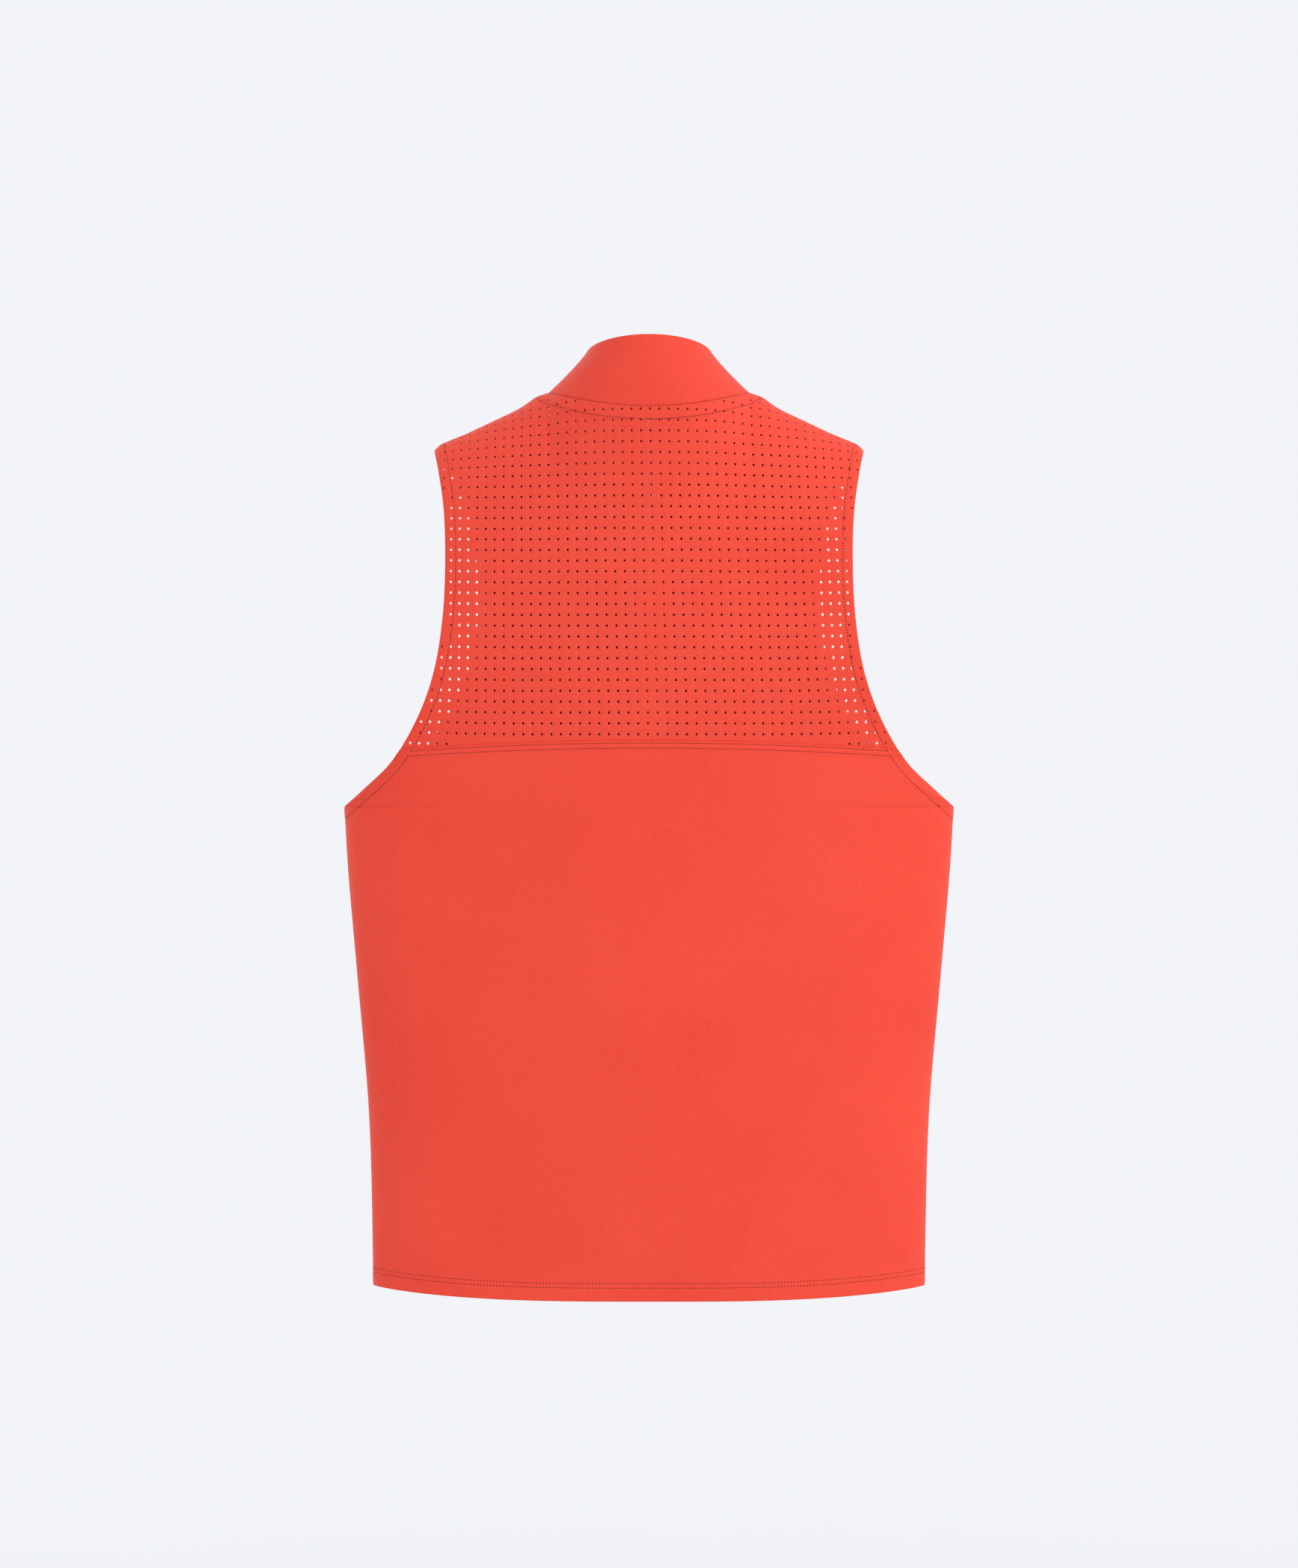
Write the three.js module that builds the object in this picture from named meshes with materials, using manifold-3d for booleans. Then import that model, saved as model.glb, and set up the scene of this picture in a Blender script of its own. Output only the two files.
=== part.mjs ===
// Sleeveless stand-collar sports vest, zipped shut and standing in its worn shape.
// Millimetres. +Z is up, +Y is the wearer's back, +X is the wearer's left side.
// The origin is the middle of the neck opening at the height of the shoulder neck points.
import * as THREE from 'three';
import * as BufferGeometryUtils from 'three/addons/utils/BufferGeometryUtils.js';
import Module from 'manifold-3d';

const wasm = await Module();
wasm.setup();

// ---- driving dimensions: cut and levels (heights are measured from the origin) ----
const CHEST_HALF = 250.5;        // half width at the underarm
const WAIST_HALF = 230;          // half width at the waist
const HEM_HALF = 226.5;          // half width at the hem
const DEPTH_BACK = 65;           // side plane to the middle of the back, at the chest
const DEPTH_FRONT = 72;          // side plane to the centre front
const HEM_TUCK = 6;              // how much shallower the back is at the hem
const UNDERARM_Z = -340;
const HEM_Z = -743.2;            // lowest point of the hem, at the centre
const HEM_RISE = 10.2;           // how much higher the hem is at the side seams
const SHOULDER_HALF = 176.5;     // half width at the shoulder tips
const SHOULDER_DROP = 47.3;      // neck point down to the shoulder tip
const ARMHOLE_NARROW = 166.2;    // half width across the back at its narrowest
const ARMHOLE_HOLLOW = 26;       // extra cut of the front armhole
const ARMHOLE_BACK = 58;         // reach of the armhole behind the side plane
const ARMHOLE_FRONT = 60;        // reach of the armhole in front of it
const CHEST_SWELL = 11;          // fullness of each front panel over the chest
const CHEST_SWELL_Z = -235;
const CHEST_SWELL_SPREAD = 150;
const YOKE_Z = -286;             // yoke seam at the centre back
const YOKE_DIP = 7;              // how much lower it is at the armholes
const FORWARD_SEAM = 45;         // yoke seam on the front, below the neck point

// ---- neck and collar ----
const NECK_HALF = 83;
const NECK_BACK = 62;
const NECK_BACK_DROP = 12.9;
const NECK_FRONT_DROP = 75;
const COLLAR_TOP_HALF = 51;
const COLLAR_TOP_BACK = 57;
const COLLAR_TOP_Z = 45.5;       // at the centre back
const COLLAR_SIDE_Z = 33;
const COLLAR_FRONT_Z = -14;

// ---- cloth ----
const FABRIC = 1.2;
const COLLAR_PLY = 1;
const FACING = 0.8;
const TAPE = 0.6;
const PLY_GAP = 0.3;             // between two layers
const SEAM_GAP = 0.3;            // between two panels that are sewn edge to edge
const ARM_HEM = 9;
const BOTTOM_HEM = 15;
const NECK_TAPE = 12;

// ---- zip ----
const ZIP_EDGE = 5;              // half of the gap between the front panels
const ZIP_TAPE_EDGE = 16;        // outer edge of each tape
const LINING_EDGE = 17;          // inner layers start outside the tapes
const TEETH = { inner: 0.6, outer: 2.9, front: 0.1 - DEPTH_FRONT, back: 2.8 - DEPTH_FRONT };
const STOP_HEIGHT = 3;
const PIN_LENGTH = 20;
const BOX = { halfX: 2.9, height: 9, proud: 0.7, socket: 6, wall: 0.6 };
const SLIDER = { halfX: 4.5, height: 12.5, plate: 1, clear: 0.3, flange: 1.3, lip: 0.9, postHalf: 0.25 };
const CROWN = { halfX: 1, halfZ: 3.6, wall: 1, rise: 3.4 };
const PULL = { bar: 0.65, halfX: 3.1, arm: 1, eye: 6.6, length: 17, barOff: 1.2, barLow: 1.6 };
const GRIP = { halfX: 4.3, halfY: 1.6, start: 9, length: 25 };
const GUARD = { edge: 15.5, fold: 9.5, rise: 7, reach: 8, clear: 1.3, bottom: 4, top: 7 };

// ---- inside fittings ----
const LOOP = { halfX: 20, depth: 16, width: 6, thick: 1, z: -15 };
const LABEL = { top: -600, height: 55 };

const QUARTER = Math.PI / 2;
const ARMHOLE_TOP = -SHOULDER_DROP;
const NECK_ANGLE = Math.asin(NECK_HALF / SHOULDER_HALF);
const HEM_ANGLE = Math.asin(1 - ARM_HEM / ARMHOLE_NARROW);

// ---- materials ----
function matte(color, roughness = 0.8) {
  return new THREE.MeshStandardMaterial({ color, roughness, metalness: 0 });
}
const KNIT = matte(0xee4f3e);
const INNER_KNIT = matte(0xd9452f);
const TAPE_CLOTH = matte(0xcf3f2c);
const LABEL_CLOTH = matte(0xf1efe9);
const PLASTIC = matte(0xc93a28, 0.4);
const RUBBER = matte(0xd8442f, 0.6);
const METAL = new THREE.MeshStandardMaterial({ color: 0x8f9296, roughness: 0.35, metalness: 1 });

const vest = new THREE.Group();
function add(name, geometry, material, parent = vest) {
  const mesh = new THREE.Mesh(geometry, material);
  mesh.name = name;
  parent.add(mesh);
}

// ---- outlines ----
// A smooth curve through [t, value] knots, as a function of t.
function smoothCurve(knots) {
  const last = knots.length - 1;
  const slopes = knots.map((knot, i) => {
    const before = knots[Math.max(i - 1, 0)];
    const after = knots[Math.min(i + 1, last)];
    return (after[1] - before[1]) / (after[0] - before[0]);
  });
  return (t) => {
    if (t <= knots[0][0]) return knots[0][1];
    if (t >= knots[last][0]) return knots[last][1];
    const i = knots.findIndex((knot, k) => t < knots[k + 1][0]);
    const [t0, v0] = knots[i];
    const [t1, v1] = knots[i + 1];
    const h = t1 - t0;
    const s = (t - t0) / h;
    const rise = s * s * (3 - 2 * s);
    return v0 + (v1 - v0) * rise + h * s * (1 - s) * ((1 - s) * slopes[i] - s * slopes[i + 1]);
  };
}

// Half width of the side seams: share of the way from the hem up to the underarm.
const sideShare = smoothCurve([
  [0, HEM_HALF], [0.36, WAIST_HALF],
  [0.66, WAIST_HALF + 0.49 * (CHEST_HALF - WAIST_HALF)],
  [0.87, WAIST_HALF + 0.85 * (CHEST_HALF - WAIST_HALF)], [1, CHEST_HALF],
]);

// Half width of the armhole edge: share of the way from the underarm up to the shoulder tip.
// The knots go from the underarm (1) to the narrowest place (0), then out to the tip (1).
const armholeIn = smoothCurve([
  [0, 1], [0.045, 0.82], [0.125, 0.53], [0.25, 0.27], [0.38, 0.11], [0.53, 0.026], [0.68, 0], [1, 0],
]);
const armholeOut = smoothCurve([[0, 0], [0.68, 0], [0.83, 0.17], [0.94, 0.62], [1, 1]]);

// Drop of the shoulder line: share of the way from the neck point out to the tip.
const shoulderShare = smoothCurve([
  [0, 0], [0.12, 0.09], [0.25, 0.26], [0.48, 0.48], [0.7, 0.685], [0.94, 0.89], [1, 1],
]);

function shoulderLine(x) {
  const share = (Math.abs(x) - NECK_HALF) / (SHOULDER_HALF - NECK_HALF);
  return -SHOULDER_DROP * shoulderShare(share);
}

const hemLine = (u) => HEM_Z + HEM_RISE * Math.abs(u) ** 3.2;
const yokeLine = (u) => YOKE_Z - YOKE_DIP * u * u;
const oval = (share) => Math.sqrt(Math.max(0, 1 - (2 * share - 1) ** 2));

function halfWidth(z, front) {
  if (z <= UNDERARM_Z) return sideShare((z - HEM_Z) / (UNDERARM_Z - HEM_Z));
  const share = Math.min(1, (z - UNDERARM_Z) / (ARMHOLE_TOP - UNDERARM_Z));
  return ARMHOLE_NARROW + armholeIn(share) * (CHEST_HALF - ARMHOLE_NARROW)
    + armholeOut(share) * (SHOULDER_HALF - ARMHOLE_NARROW)
    - (front ? ARMHOLE_HOLLOW * oval(share) ** 1.4 : 0);
}

// ---- neck line: the ring at the foot of the collar; phi is 0 at the centre front, pi behind ----
const FRONT_SQUARE = 2.6;        // power of the plan curve in front: over 2 is squarer
const frontPlan = (phi) => (
  Math.max(0, 1 - Math.abs(Math.sin(phi)) ** FRONT_SQUARE) ** (1 / FRONT_SQUARE)
);
function neckPoint(phi) {
  const ahead = Math.cos(phi);
  const y = ahead > 0 ? -DEPTH_FRONT * frontPlan(phi) : -NECK_BACK * ahead;
  const drop = ahead > 0 ? NECK_FRONT_DROP * ahead ** 1.5 : NECK_BACK_DROP * ahead ** 2;
  return new THREE.Vector3(NECK_HALF * Math.sin(phi), y, -drop);
}

// Where the neck line crosses height z on the front.
const neckPhiAt = (z) => Math.acos(Math.min(1, Math.max(0, -z / NECK_FRONT_DROP) ** (1 / 1.5)));

// The point at which the column at u runs into the neck line or the shoulder line.
function columnTop(u, front) {
  const side = Math.abs(u);
  if (side * SHOULDER_HALF >= NECK_HALF) {
    const x = side * SHOULDER_HALF;
    return new THREE.Vector3(x, 0, shoulderLine(x));
  }
  let phi = QUARTER;
  for (let pass = 0; pass < 20; pass += 1) {
    const across = Math.asin(Math.min(1, side * halfWidth(neckPoint(phi).z, front) / NECK_HALF));
    phi = front ? across : Math.PI - across;
  }
  return neckPoint(phi);
}

// ---- outer surface of the body ----
const ARCH_RISE = 4;             // powers of the arch over the shoulders
const ARCH_ROUND = 0.42;
const SIDE_ROUND = 0.42;         // power that squares off the plan section below the underarm
const OPEN_SHARE = 0.2;          // share of the armhole's height over which its edge opens out

// How far a point across one face has turned towards the side: 0 in the middle, 1 at the edge.
function sideTurn(across, share) {
  const open = Math.min(1, Math.max(0, share) / OPEN_SHARE);
  const power = SIDE_ROUND + (1 - SIDE_ROUND) * open * open * (3 - 2 * open);
  return 1 - Math.max(0, 1 - across * across) ** power;
}
const frontTop = (u) => (
  Math.abs(u) * SHOULDER_HALF > NECK_HALF ? shoulderLine(u * SHOULDER_HALF) : 0
);
const topHeight = (u, front) => (front ? frontTop(u) : columnTop(u, false).z);

function backDepth(u, z) {
  const low = Math.max(0, (UNDERARM_Z - z) / (UNDERARM_Z - HEM_Z));
  const top = columnTop(u, false);
  const share = Math.min(1, Math.max(0, (z - UNDERARM_Z) / (top.z - UNDERARM_Z)));
  const turn = sideTurn(u, share);
  const flat = (DEPTH_BACK - HEM_TUCK * low) * (1 - turn);
  const atTop = Math.min(0.99999, Math.abs(top.y) / Math.max(flat, 0.001));
  const climb = (1 - atTop ** (1 / ARCH_ROUND)) ** (1 / ARCH_RISE);
  const arch = Math.max(0, 1 - (share * climb) ** ARCH_RISE) ** ARCH_ROUND;
  return flat * arch + turn * ARMHOLE_BACK * oval(share);
}

function frontDepth(u, z) {
  const share = Math.min(1, Math.max(0, (z - UNDERARM_Z) / (frontTop(u) - UNDERARM_Z)));
  const neckZ = UNDERARM_Z * (1 - share);
  const phi = neckPhiAt(neckZ);
  const inner = NECK_HALF * Math.sin(phi) / halfWidth(neckZ, true);
  const across = Math.max(0, (Math.abs(u) - inner) / (1 - inner));
  const turn = sideTurn(across, share);
  const swell = CHEST_SWELL * Math.sin(across * Math.PI) ** 2 * (1 - share * share)
    * Math.exp(-(((z - CHEST_SWELL_Z) / CHEST_SWELL_SPREAD) ** 2));
  return DEPTH_FRONT * frontPlan(phi) * (1 - turn) + turn * ARMHOLE_FRONT * oval(share) + swell;
}

// u runs from -1 to 1 across one face, at height z.
function bodyPoint(u, z, front) {
  const y = front ? -frontDepth(u, z) : backDepth(u, z);
  return new THREE.Vector3(u * halfWidth(z, front), y, z);
}

// The same surface by column angle and row: row -1 is the hem, 0 the underarm, 1 the top.
function rowHeight(u, row, front) {
  if (row <= 0) return hemLine(u) + (row + 1) * (UNDERARM_Z - hemLine(u));
  return UNDERARM_Z + row * (topHeight(u, front) - UNDERARM_Z);
}
function crossNormal(pointAt, a, b, step, limitsA, limitsB) {
  const within = (value, [low, high]) => Math.min(high, Math.max(low, value));
  const alongA = pointAt(within(a + step, limitsA), b).sub(pointAt(within(a - step, limitsA), b));
  const alongB = pointAt(a, within(b + step, limitsB)).sub(pointAt(a, within(b - step, limitsB)));
  return alongA.cross(alongB).normalize();
}

// A corner of a panel: its place on the outer surface and the outward direction there.
function bodyCorner(angle, z, front) {
  const u = Math.sin(angle);
  const span = z <= UNDERARM_Z ? UNDERARM_Z - hemLine(u) : topHeight(u, front) - UNDERARM_Z;
  const row = Math.min(1, (z - UNDERARM_Z) / span);
  const columns = angle < NECK_ANGLE - 1e-6 ? [-NECK_ANGLE, NECK_ANGLE] : [NECK_ANGLE, QUARTER];
  const pointAt = (a, r) => bodyPoint(Math.sin(a), rowHeight(Math.sin(a), r, front), front);
  const normal = crossNormal(pointAt, angle, row, 0.006, columns, row <= 0 ? [-1, 0] : [0, 1]);
  const point = bodyPoint(u, z, front);
  const onSeam = Math.abs(point.y) < 1e-3;
  if (onSeam) normal.setY(0).normalize();
  const outward = new THREE.Vector3(u / 2, front ? -1 : 1, Math.max(0, row) ** 8);
  if (normal.dot(outward) < 0) normal.negate();
  if (onSeam && row <= 0) point.y = (front ? -1 : 1) * SEAM_GAP / 2;
  return { point, normal };
}

// ---- collar surface: s is 0 at the neck line and 1 at the top edge ----
const COLLAR_LEAN = 1.12;
const collarTaper = (s) => 1 - (1 - s) ** COLLAR_LEAN;
const collarHalf = (s) => NECK_HALF - (NECK_HALF - COLLAR_TOP_HALF) * collarTaper(s);
function collarPoint(phi, s) {
  const ahead = Math.cos(phi);
  const foot = neckPoint(phi);
  const rise = ahead > 0 ? (COLLAR_FRONT_Z - COLLAR_SIDE_Z) * ahead ** 1.5
    : (COLLAR_TOP_Z - COLLAR_SIDE_Z) * Math.abs(ahead) ** 1.1;
  const top = COLLAR_SIDE_Z + rise;
  const lean = ahead > 0 ? 0 : (NECK_BACK - COLLAR_TOP_BACK) * collarTaper(s);
  return new THREE.Vector3(
    collarHalf(s) * Math.sin(phi), foot.y + lean * ahead, foot.z + s * (top - foot.z) + SEAM_GAP,
  );
}
function collarCorner(phi, s) {
  const normal = crossNormal(collarPoint, phi, s, 0.02, [-0.1, Math.PI + 0.1], [0, 1]);
  const point = collarPoint(phi, s);
  if (normal.x * point.x + normal.y * point.y < 0) normal.negate();
  if (Math.abs(point.x) < 1e-6) normal.setX(0).normalize();
  return { point, normal };
}

// ---- cloth pieces ----
// A grid of corners, as a patch of four-sided cells.
function gridPatch(rows) {
  const cells = [];
  for (let j = 0; j + 1 < rows.length; j += 1) {
    for (let i = 0; i + 1 < rows[j].length; i += 1) {
      cells.push([rows[j][i], rows[j][i + 1], rows[j + 1][i + 1], rows[j + 1][i]]);
    }
  }
  return cells;
}
function flipCorner({ point, normal }) {
  return {
    point: new THREE.Vector3(-point.x, point.y, point.z),
    normal: new THREE.Vector3(-normal.x, normal.y, normal.z),
  };
}
// Both diagonals and the winding mirror, so that the two halves are exact mirror images.
const mirrored = (cells) => cells.map(([a, b, c, d]) => [a, d, c, b].map(flipCorner));
const bothHalves = (cells) => [...cells, ...mirrored(cells)];

// A closed sheet of cloth between two depths under the outer surface.
function clothSheet(cells, outside, inside) {
  const index = new Map();
  const corners = [];
  const keyOf = ({ point }) => point.toArray().map((value) => Math.round(value * 1000)).join();
  const number = (corner) => {
    const key = keyOf(corner);
    if (!index.has(key)) {
      index.set(key, corners.length);
      corners.push(corner);
    }
    return index.get(key);
  };
  const triangles = [];
  for (const cell of cells) {
    const [a, b, c, d] = cell.map(number);
    for (const triangle of [[a, b, c], [a, c, d]]) {
      if (new Set(triangle).size === 3) triangles.push(triangle);
    }
  }
  for (const triangle of triangles) {
    const [a, b, c] = triangle.map((i) => corners[i]);
    const face = b.point.clone().sub(a.point).cross(c.point.clone().sub(a.point));
    const out = a.normal.clone().add(b.normal).add(c.normal);
    if (face.dot(out) < 0) triangle.reverse();
  }
  const edges = new Set(triangles.flatMap(([a, b, c]) => [`${a},${b}`, `${b},${c}`, `${c},${a}`]));
  const under = corners.length;
  const faces = [];
  for (const [a, b, c] of triangles) {
    faces.push(a, b, c, c + under, b + under, a + under);
    for (const [from, to] of [[a, b], [b, c], [c, a]]) {
      if (edges.has(`${to},${from}`)) continue;
      faces.push(to, from, from + under, to, from + under, to + under);
    }
  }
  const places = [outside, inside].flatMap((depth) => corners.flatMap(
    ({ point, normal }) => point.clone().addScaledVector(normal, -depth).toArray(),
  ));
  const geometry = new THREE.BufferGeometry();
  geometry.setAttribute('position', new THREE.Float32BufferAttribute(places, 3));
  geometry.setIndex(faces);
  return geometry;
}

// ---- columns and rows that the layers share, so that they stay parallel ----
const steps = (count) => Array.from({ length: count + 1 }, (unused, i) => i / count);
const mix = (from, to, share) => from + (to - from) * share;

const OUTER_FAN = steps(4).slice(1);
const SHOULDER_COLUMNS = [...OUTER_FAN.map((share) => mix(NECK_ANGLE, HEM_ANGLE, share)), QUARTER];
const NEAR_NECK = 0.06;          // columns this close to the neck point run together
function frontColumns(first, second) {
  const inner = first > NECK_ANGLE - NEAR_NECK ? [first, first, first, first]
    : [first, second, mix(second, NECK_ANGLE, 0.5), NECK_ANGLE];
  return [...inner, ...SHOULDER_COLUMNS];
}
const BACK_NECK_COLUMNS = steps(6).map(
  (share) => Math.asin(NECK_HALF * Math.sin(share * QUARTER) / SHOULDER_HALF),
);
const YOKE_COLUMNS = [...BACK_NECK_COLUMNS, ...SHOULDER_COLUMNS];
const PANEL_COLUMNS = [...steps(6).map((share) => share * HEM_ANGLE), QUARTER];

const NECK_TAPE_ROW = 1 - NECK_TAPE / (-NECK_BACK_DROP - YOKE_Z);
const YOKE_ROWS = [0, 0.2, 0.4, 0.58, 0.73, 0.84, 0.91, NECK_TAPE_ROW, 0.984, 0.996, 1];
const LOW_ROWS = [0, BOTTOM_HEM / (UNDERARM_Z - HEM_Z), 0.14, 0.28, 0.42, 0.56, 0.7, 0.85, 1];
const HEM_ROWS = LOW_ROWS.slice(0, 2);
const UNDERARM_ROWS = [0.015, 0.045, 0.1];
const lowHeight = (u, share) => rowHeight(u, share - 1, false);

function yokeHeight(u, share) {
  return mix(yokeLine(u) + SEAM_GAP / 2, columnTop(u, false).z, share);
}
function backGrid(columns, heights) {
  return heights.map((heightAt) => columns.map(
    (angle) => bodyCorner(angle, heightAt(Math.sin(angle)), false),
  ));
}
const lowHeights = LOW_ROWS.map((share) => (u) => lowHeight(u, share));
const underarmHeights = UNDERARM_ROWS.map((share) => (u) => mix(
  UNDERARM_Z, columnTop(u, false).z, share,
));
const panelTop = (u) => yokeLine(u) - SEAM_GAP / 2;
const yokeHeights = YOKE_ROWS.map((share) => (u) => yokeHeight(u, share));

// Front rows run level with the shoulder line; the neck line cuts off their inner ends.
const frontShare = (drop) => 1 - drop / -UNDERARM_Z;
const CENTRE_ROW = frontShare(NECK_FRONT_DROP + 0.2);
const SEAM_ROW = frontShare(FORWARD_SEAM);
const LINING_PHI = Math.asin(LINING_EDGE / NECK_HALF);
const LINING_ROW = frontShare(-neckPoint(LINING_PHI).z);
// The rows between the lining's foot and the forward seam keep their order whatever the neck drop.
const LOW_NECK_ROWS = [LINING_ROW, ...[[0.8, 0.15], [0.835, 0.55]].map(
  ([row, share]) => Math.max(row, mix(LINING_ROW, SEAM_ROW, share)),
)];
const HIGH_NECK_ROWS = [0.91, 0.945, 0.972];
const HALF_SEAM = SEAM_GAP / 2 / -UNDERARM_Z;
const frontHeight = (u, share) => rowHeight(u, share, true);
function frontRow(share, columns) {
  return columns.map((angle) => bodyCorner(angle, frontHeight(Math.sin(angle), share), true));
}
function neckColumns(share) {
  const z = UNDERARM_Z * (1 - share);
  const first = Math.asin(neckPoint(neckPhiAt(z)).x / halfWidth(z, true));
  return frontColumns(first, mix(first, NECK_ANGLE, 0.33));
}
function zipColumns(z) {
  const half = halfWidth(z, true);
  return frontColumns(Math.asin(ZIP_EDGE / half), Math.asin(LINING_EDGE / half));
}
const upperZipRow = (share) => frontRow(share, zipColumns(frontHeight(0, share)));
function lowFrontRow(share) {
  const columns = zipColumns(lowHeight(0, share));
  return columns.map((angle) => bodyCorner(angle, lowHeight(Math.sin(angle), share), true));
}
const SHOULDER_FRONT_ROWS = [
  ...[SEAM_ROW + HALF_SEAM, ...HIGH_NECK_ROWS, 0.99, 0.998].map(
    (share) => frontRow(share, neckColumns(share)),
  ),
  frontRow(1, frontColumns(NECK_ANGLE, NECK_ANGLE)),
];
const FRONT_ROWS = [
  ...LOW_ROWS.map(lowFrontRow),
  ...[...UNDERARM_ROWS, 0.2, 0.34, 0.48, 0.62, 0.72, CENTRE_ROW].map(upperZipRow),
  ...[...LOW_NECK_ROWS, SEAM_ROW - HALF_SEAM].map((share) => frontRow(share, neckColumns(share))),
];

// ---- panels ----
const yokeCells = [
  ...gridPatch(backGrid(YOKE_COLUMNS, yokeHeights)),
  ...gridPatch(SHOULDER_FRONT_ROWS),
];
add('back_yoke', clothSheet(bothHalves(yokeCells), 0, FABRIC), KNIT);

const panelHeights = [...lowHeights, ...underarmHeights, panelTop];
const panelCells = gridPatch(backGrid(PANEL_COLUMNS, panelHeights));
add('back_panel', clothSheet(bothHalves(panelCells), 0, FABRIC), KNIT);

const frontCells = gridPatch(FRONT_ROWS);
add('front_panel_left', clothSheet(frontCells, 0, FABRIC), KNIT);
add('front_panel_right', clothSheet(mirrored(frontCells), 0, FABRIC), KNIT);

// ---- facings: second layers under the edges ----
const FACING_TOP = FABRIC + PLY_GAP;
const FACING_UNDER = FACING_TOP + FACING;
const lastTwo = (rows) => rows.map((row) => row.slice(-2));
const armColumns = PANEL_COLUMNS.slice(-2);
const armBackHeights = [
  (u) => lowHeight(u, 1), ...underarmHeights, panelTop, ...yokeHeights,
];
const armCells = [
  ...gridPatch(backGrid(armColumns, armBackHeights)),
  ...gridPatch(lastTwo(SHOULDER_FRONT_ROWS)),
  ...gridPatch(lastTwo([...FRONT_ROWS.slice(LOW_ROWS.length - 1), SHOULDER_FRONT_ROWS[0]])),
];
add('armhole_facing_left', clothSheet(armCells, FACING_TOP, FACING_UNDER), INNER_KNIT);
add('armhole_facing_right', clothSheet(mirrored(armCells), FACING_TOP, FACING_UNDER), INNER_KNIT);

const hemBack = gridPatch(backGrid(PANEL_COLUMNS, HEM_ROWS.map((share) => (u) => lowHeight(u, share))));
add('hem_facing_back', clothSheet(bothHalves(hemBack), FACING_TOP, FACING_UNDER), INNER_KNIT);
const hemFront = gridPatch(HEM_ROWS.map((share) => lowFrontRow(share).slice(1)));
add('hem_facing_front_left', clothSheet(hemFront, FACING_TOP, FACING_UNDER), INNER_KNIT);
add('hem_facing_front_right', clothSheet(mirrored(hemFront), FACING_TOP, FACING_UNDER), INNER_KNIT);

const tapeColumns = BACK_NECK_COLUMNS.slice(0, -1);
const tapeHeights = YOKE_ROWS.slice(YOKE_ROWS.indexOf(NECK_TAPE_ROW)).map(
  (share) => (u) => yokeHeight(u, share),
);
const neckTapeCells = gridPatch(backGrid(tapeColumns, tapeHeights));
add('neck_tape', clothSheet(bothHalves(neckTapeCells), FACING_TOP, FACING_TOP + TAPE), TAPE_CLOTH);

// ---- collar: a C that is open along the zip ----
const COLLAR_ROWS = steps(4);
// The collar's columns meet the rows of the panels that end at the neck line.
const NECK_PHIS = [
  ...[...LOW_NECK_ROWS, SEAM_ROW, ...HIGH_NECK_ROWS].map((share) => neckPhiAt(UNDERARM_Z * (1 - share))),
  ...steps(6).map((share) => QUARTER + share * QUARTER),
];
function collarRow(s) {
  const half = collarHalf(s);
  const second = Math.asin(LINING_EDGE / half);
  const squeeze = (Math.PI - second) / (Math.PI - LINING_PHI);
  const phis = NECK_PHIS.map((phi) => Math.PI - (Math.PI - phi) * squeeze);
  return [Math.asin(ZIP_EDGE / half), ...phis].map((phi) => collarCorner(phi, s));
}
const collarGrid = COLLAR_ROWS.map(collarRow);
add('collar_outer', clothSheet(bothHalves(gridPatch(collarGrid)), 0, COLLAR_PLY), KNIT);
const liningCells = gridPatch(collarGrid.map((row) => row.slice(1)));
const LINING_TOP = COLLAR_PLY + PLY_GAP;
add('collar_lining', clothSheet(bothHalves(liningCells), LINING_TOP, LINING_TOP + FACING), INNER_KNIT);

// ---- zip tapes: one strip each, from the hem to the collar's top ----
const tapeInner = TEETH.outer + PLY_GAP;
function tapeRow(xs, angleOf, cornerAt) {
  return xs.map((x) => cornerAt(angleOf(x)));
}
const tapeXs = [tapeInner, ZIP_EDGE, ZIP_TAPE_EDGE];
function bodyTapeRow(z, topRow = false) {
  const half = halfWidth(z, true);
  return tapeRow(tapeXs, (x) => Math.asin(x / half), (angle) => {
    const lift = topRow ? columnTop(Math.sin(angle), true).z - z - SEAM_GAP : 0;
    const base = z < UNDERARM_Z ? hemLine(Math.sin(angle)) - HEM_Z : 0;
    const fade = (UNDERARM_Z - z) / (UNDERARM_Z - HEM_Z);
    return bodyCorner(angle, z + lift + base * Math.max(0, fade), true);
  });
}
const tapeCells = gridPatch([
  ...LOW_ROWS.map((share) => bodyTapeRow(mix(HEM_Z, UNDERARM_Z, share) + 1)),
  ...[0.1, 0.2, 0.34, 0.48, 0.62, 0.72].map((share) => bodyTapeRow(UNDERARM_Z * (1 - share))),
  bodyTapeRow(-NECK_FRONT_DROP, true),
  ...COLLAR_ROWS.slice(0, -1).map((s) => tapeRow(
    tapeXs, (x) => Math.asin(x / collarHalf(s)), (phi) => collarCorner(phi, s),
  )),
  tapeRow(tapeXs, (x) => Math.asin(x / collarHalf(0.97)), (phi) => collarCorner(phi, 0.97)),
]);
add('zip_tape_left', clothSheet(tapeCells, FACING_TOP, FACING_TOP + TAPE), TAPE_CLOTH);
add('zip_tape_right', clothSheet(mirrored(tapeCells), FACING_TOP, FACING_TOP + TAPE), TAPE_CLOTH);

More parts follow.
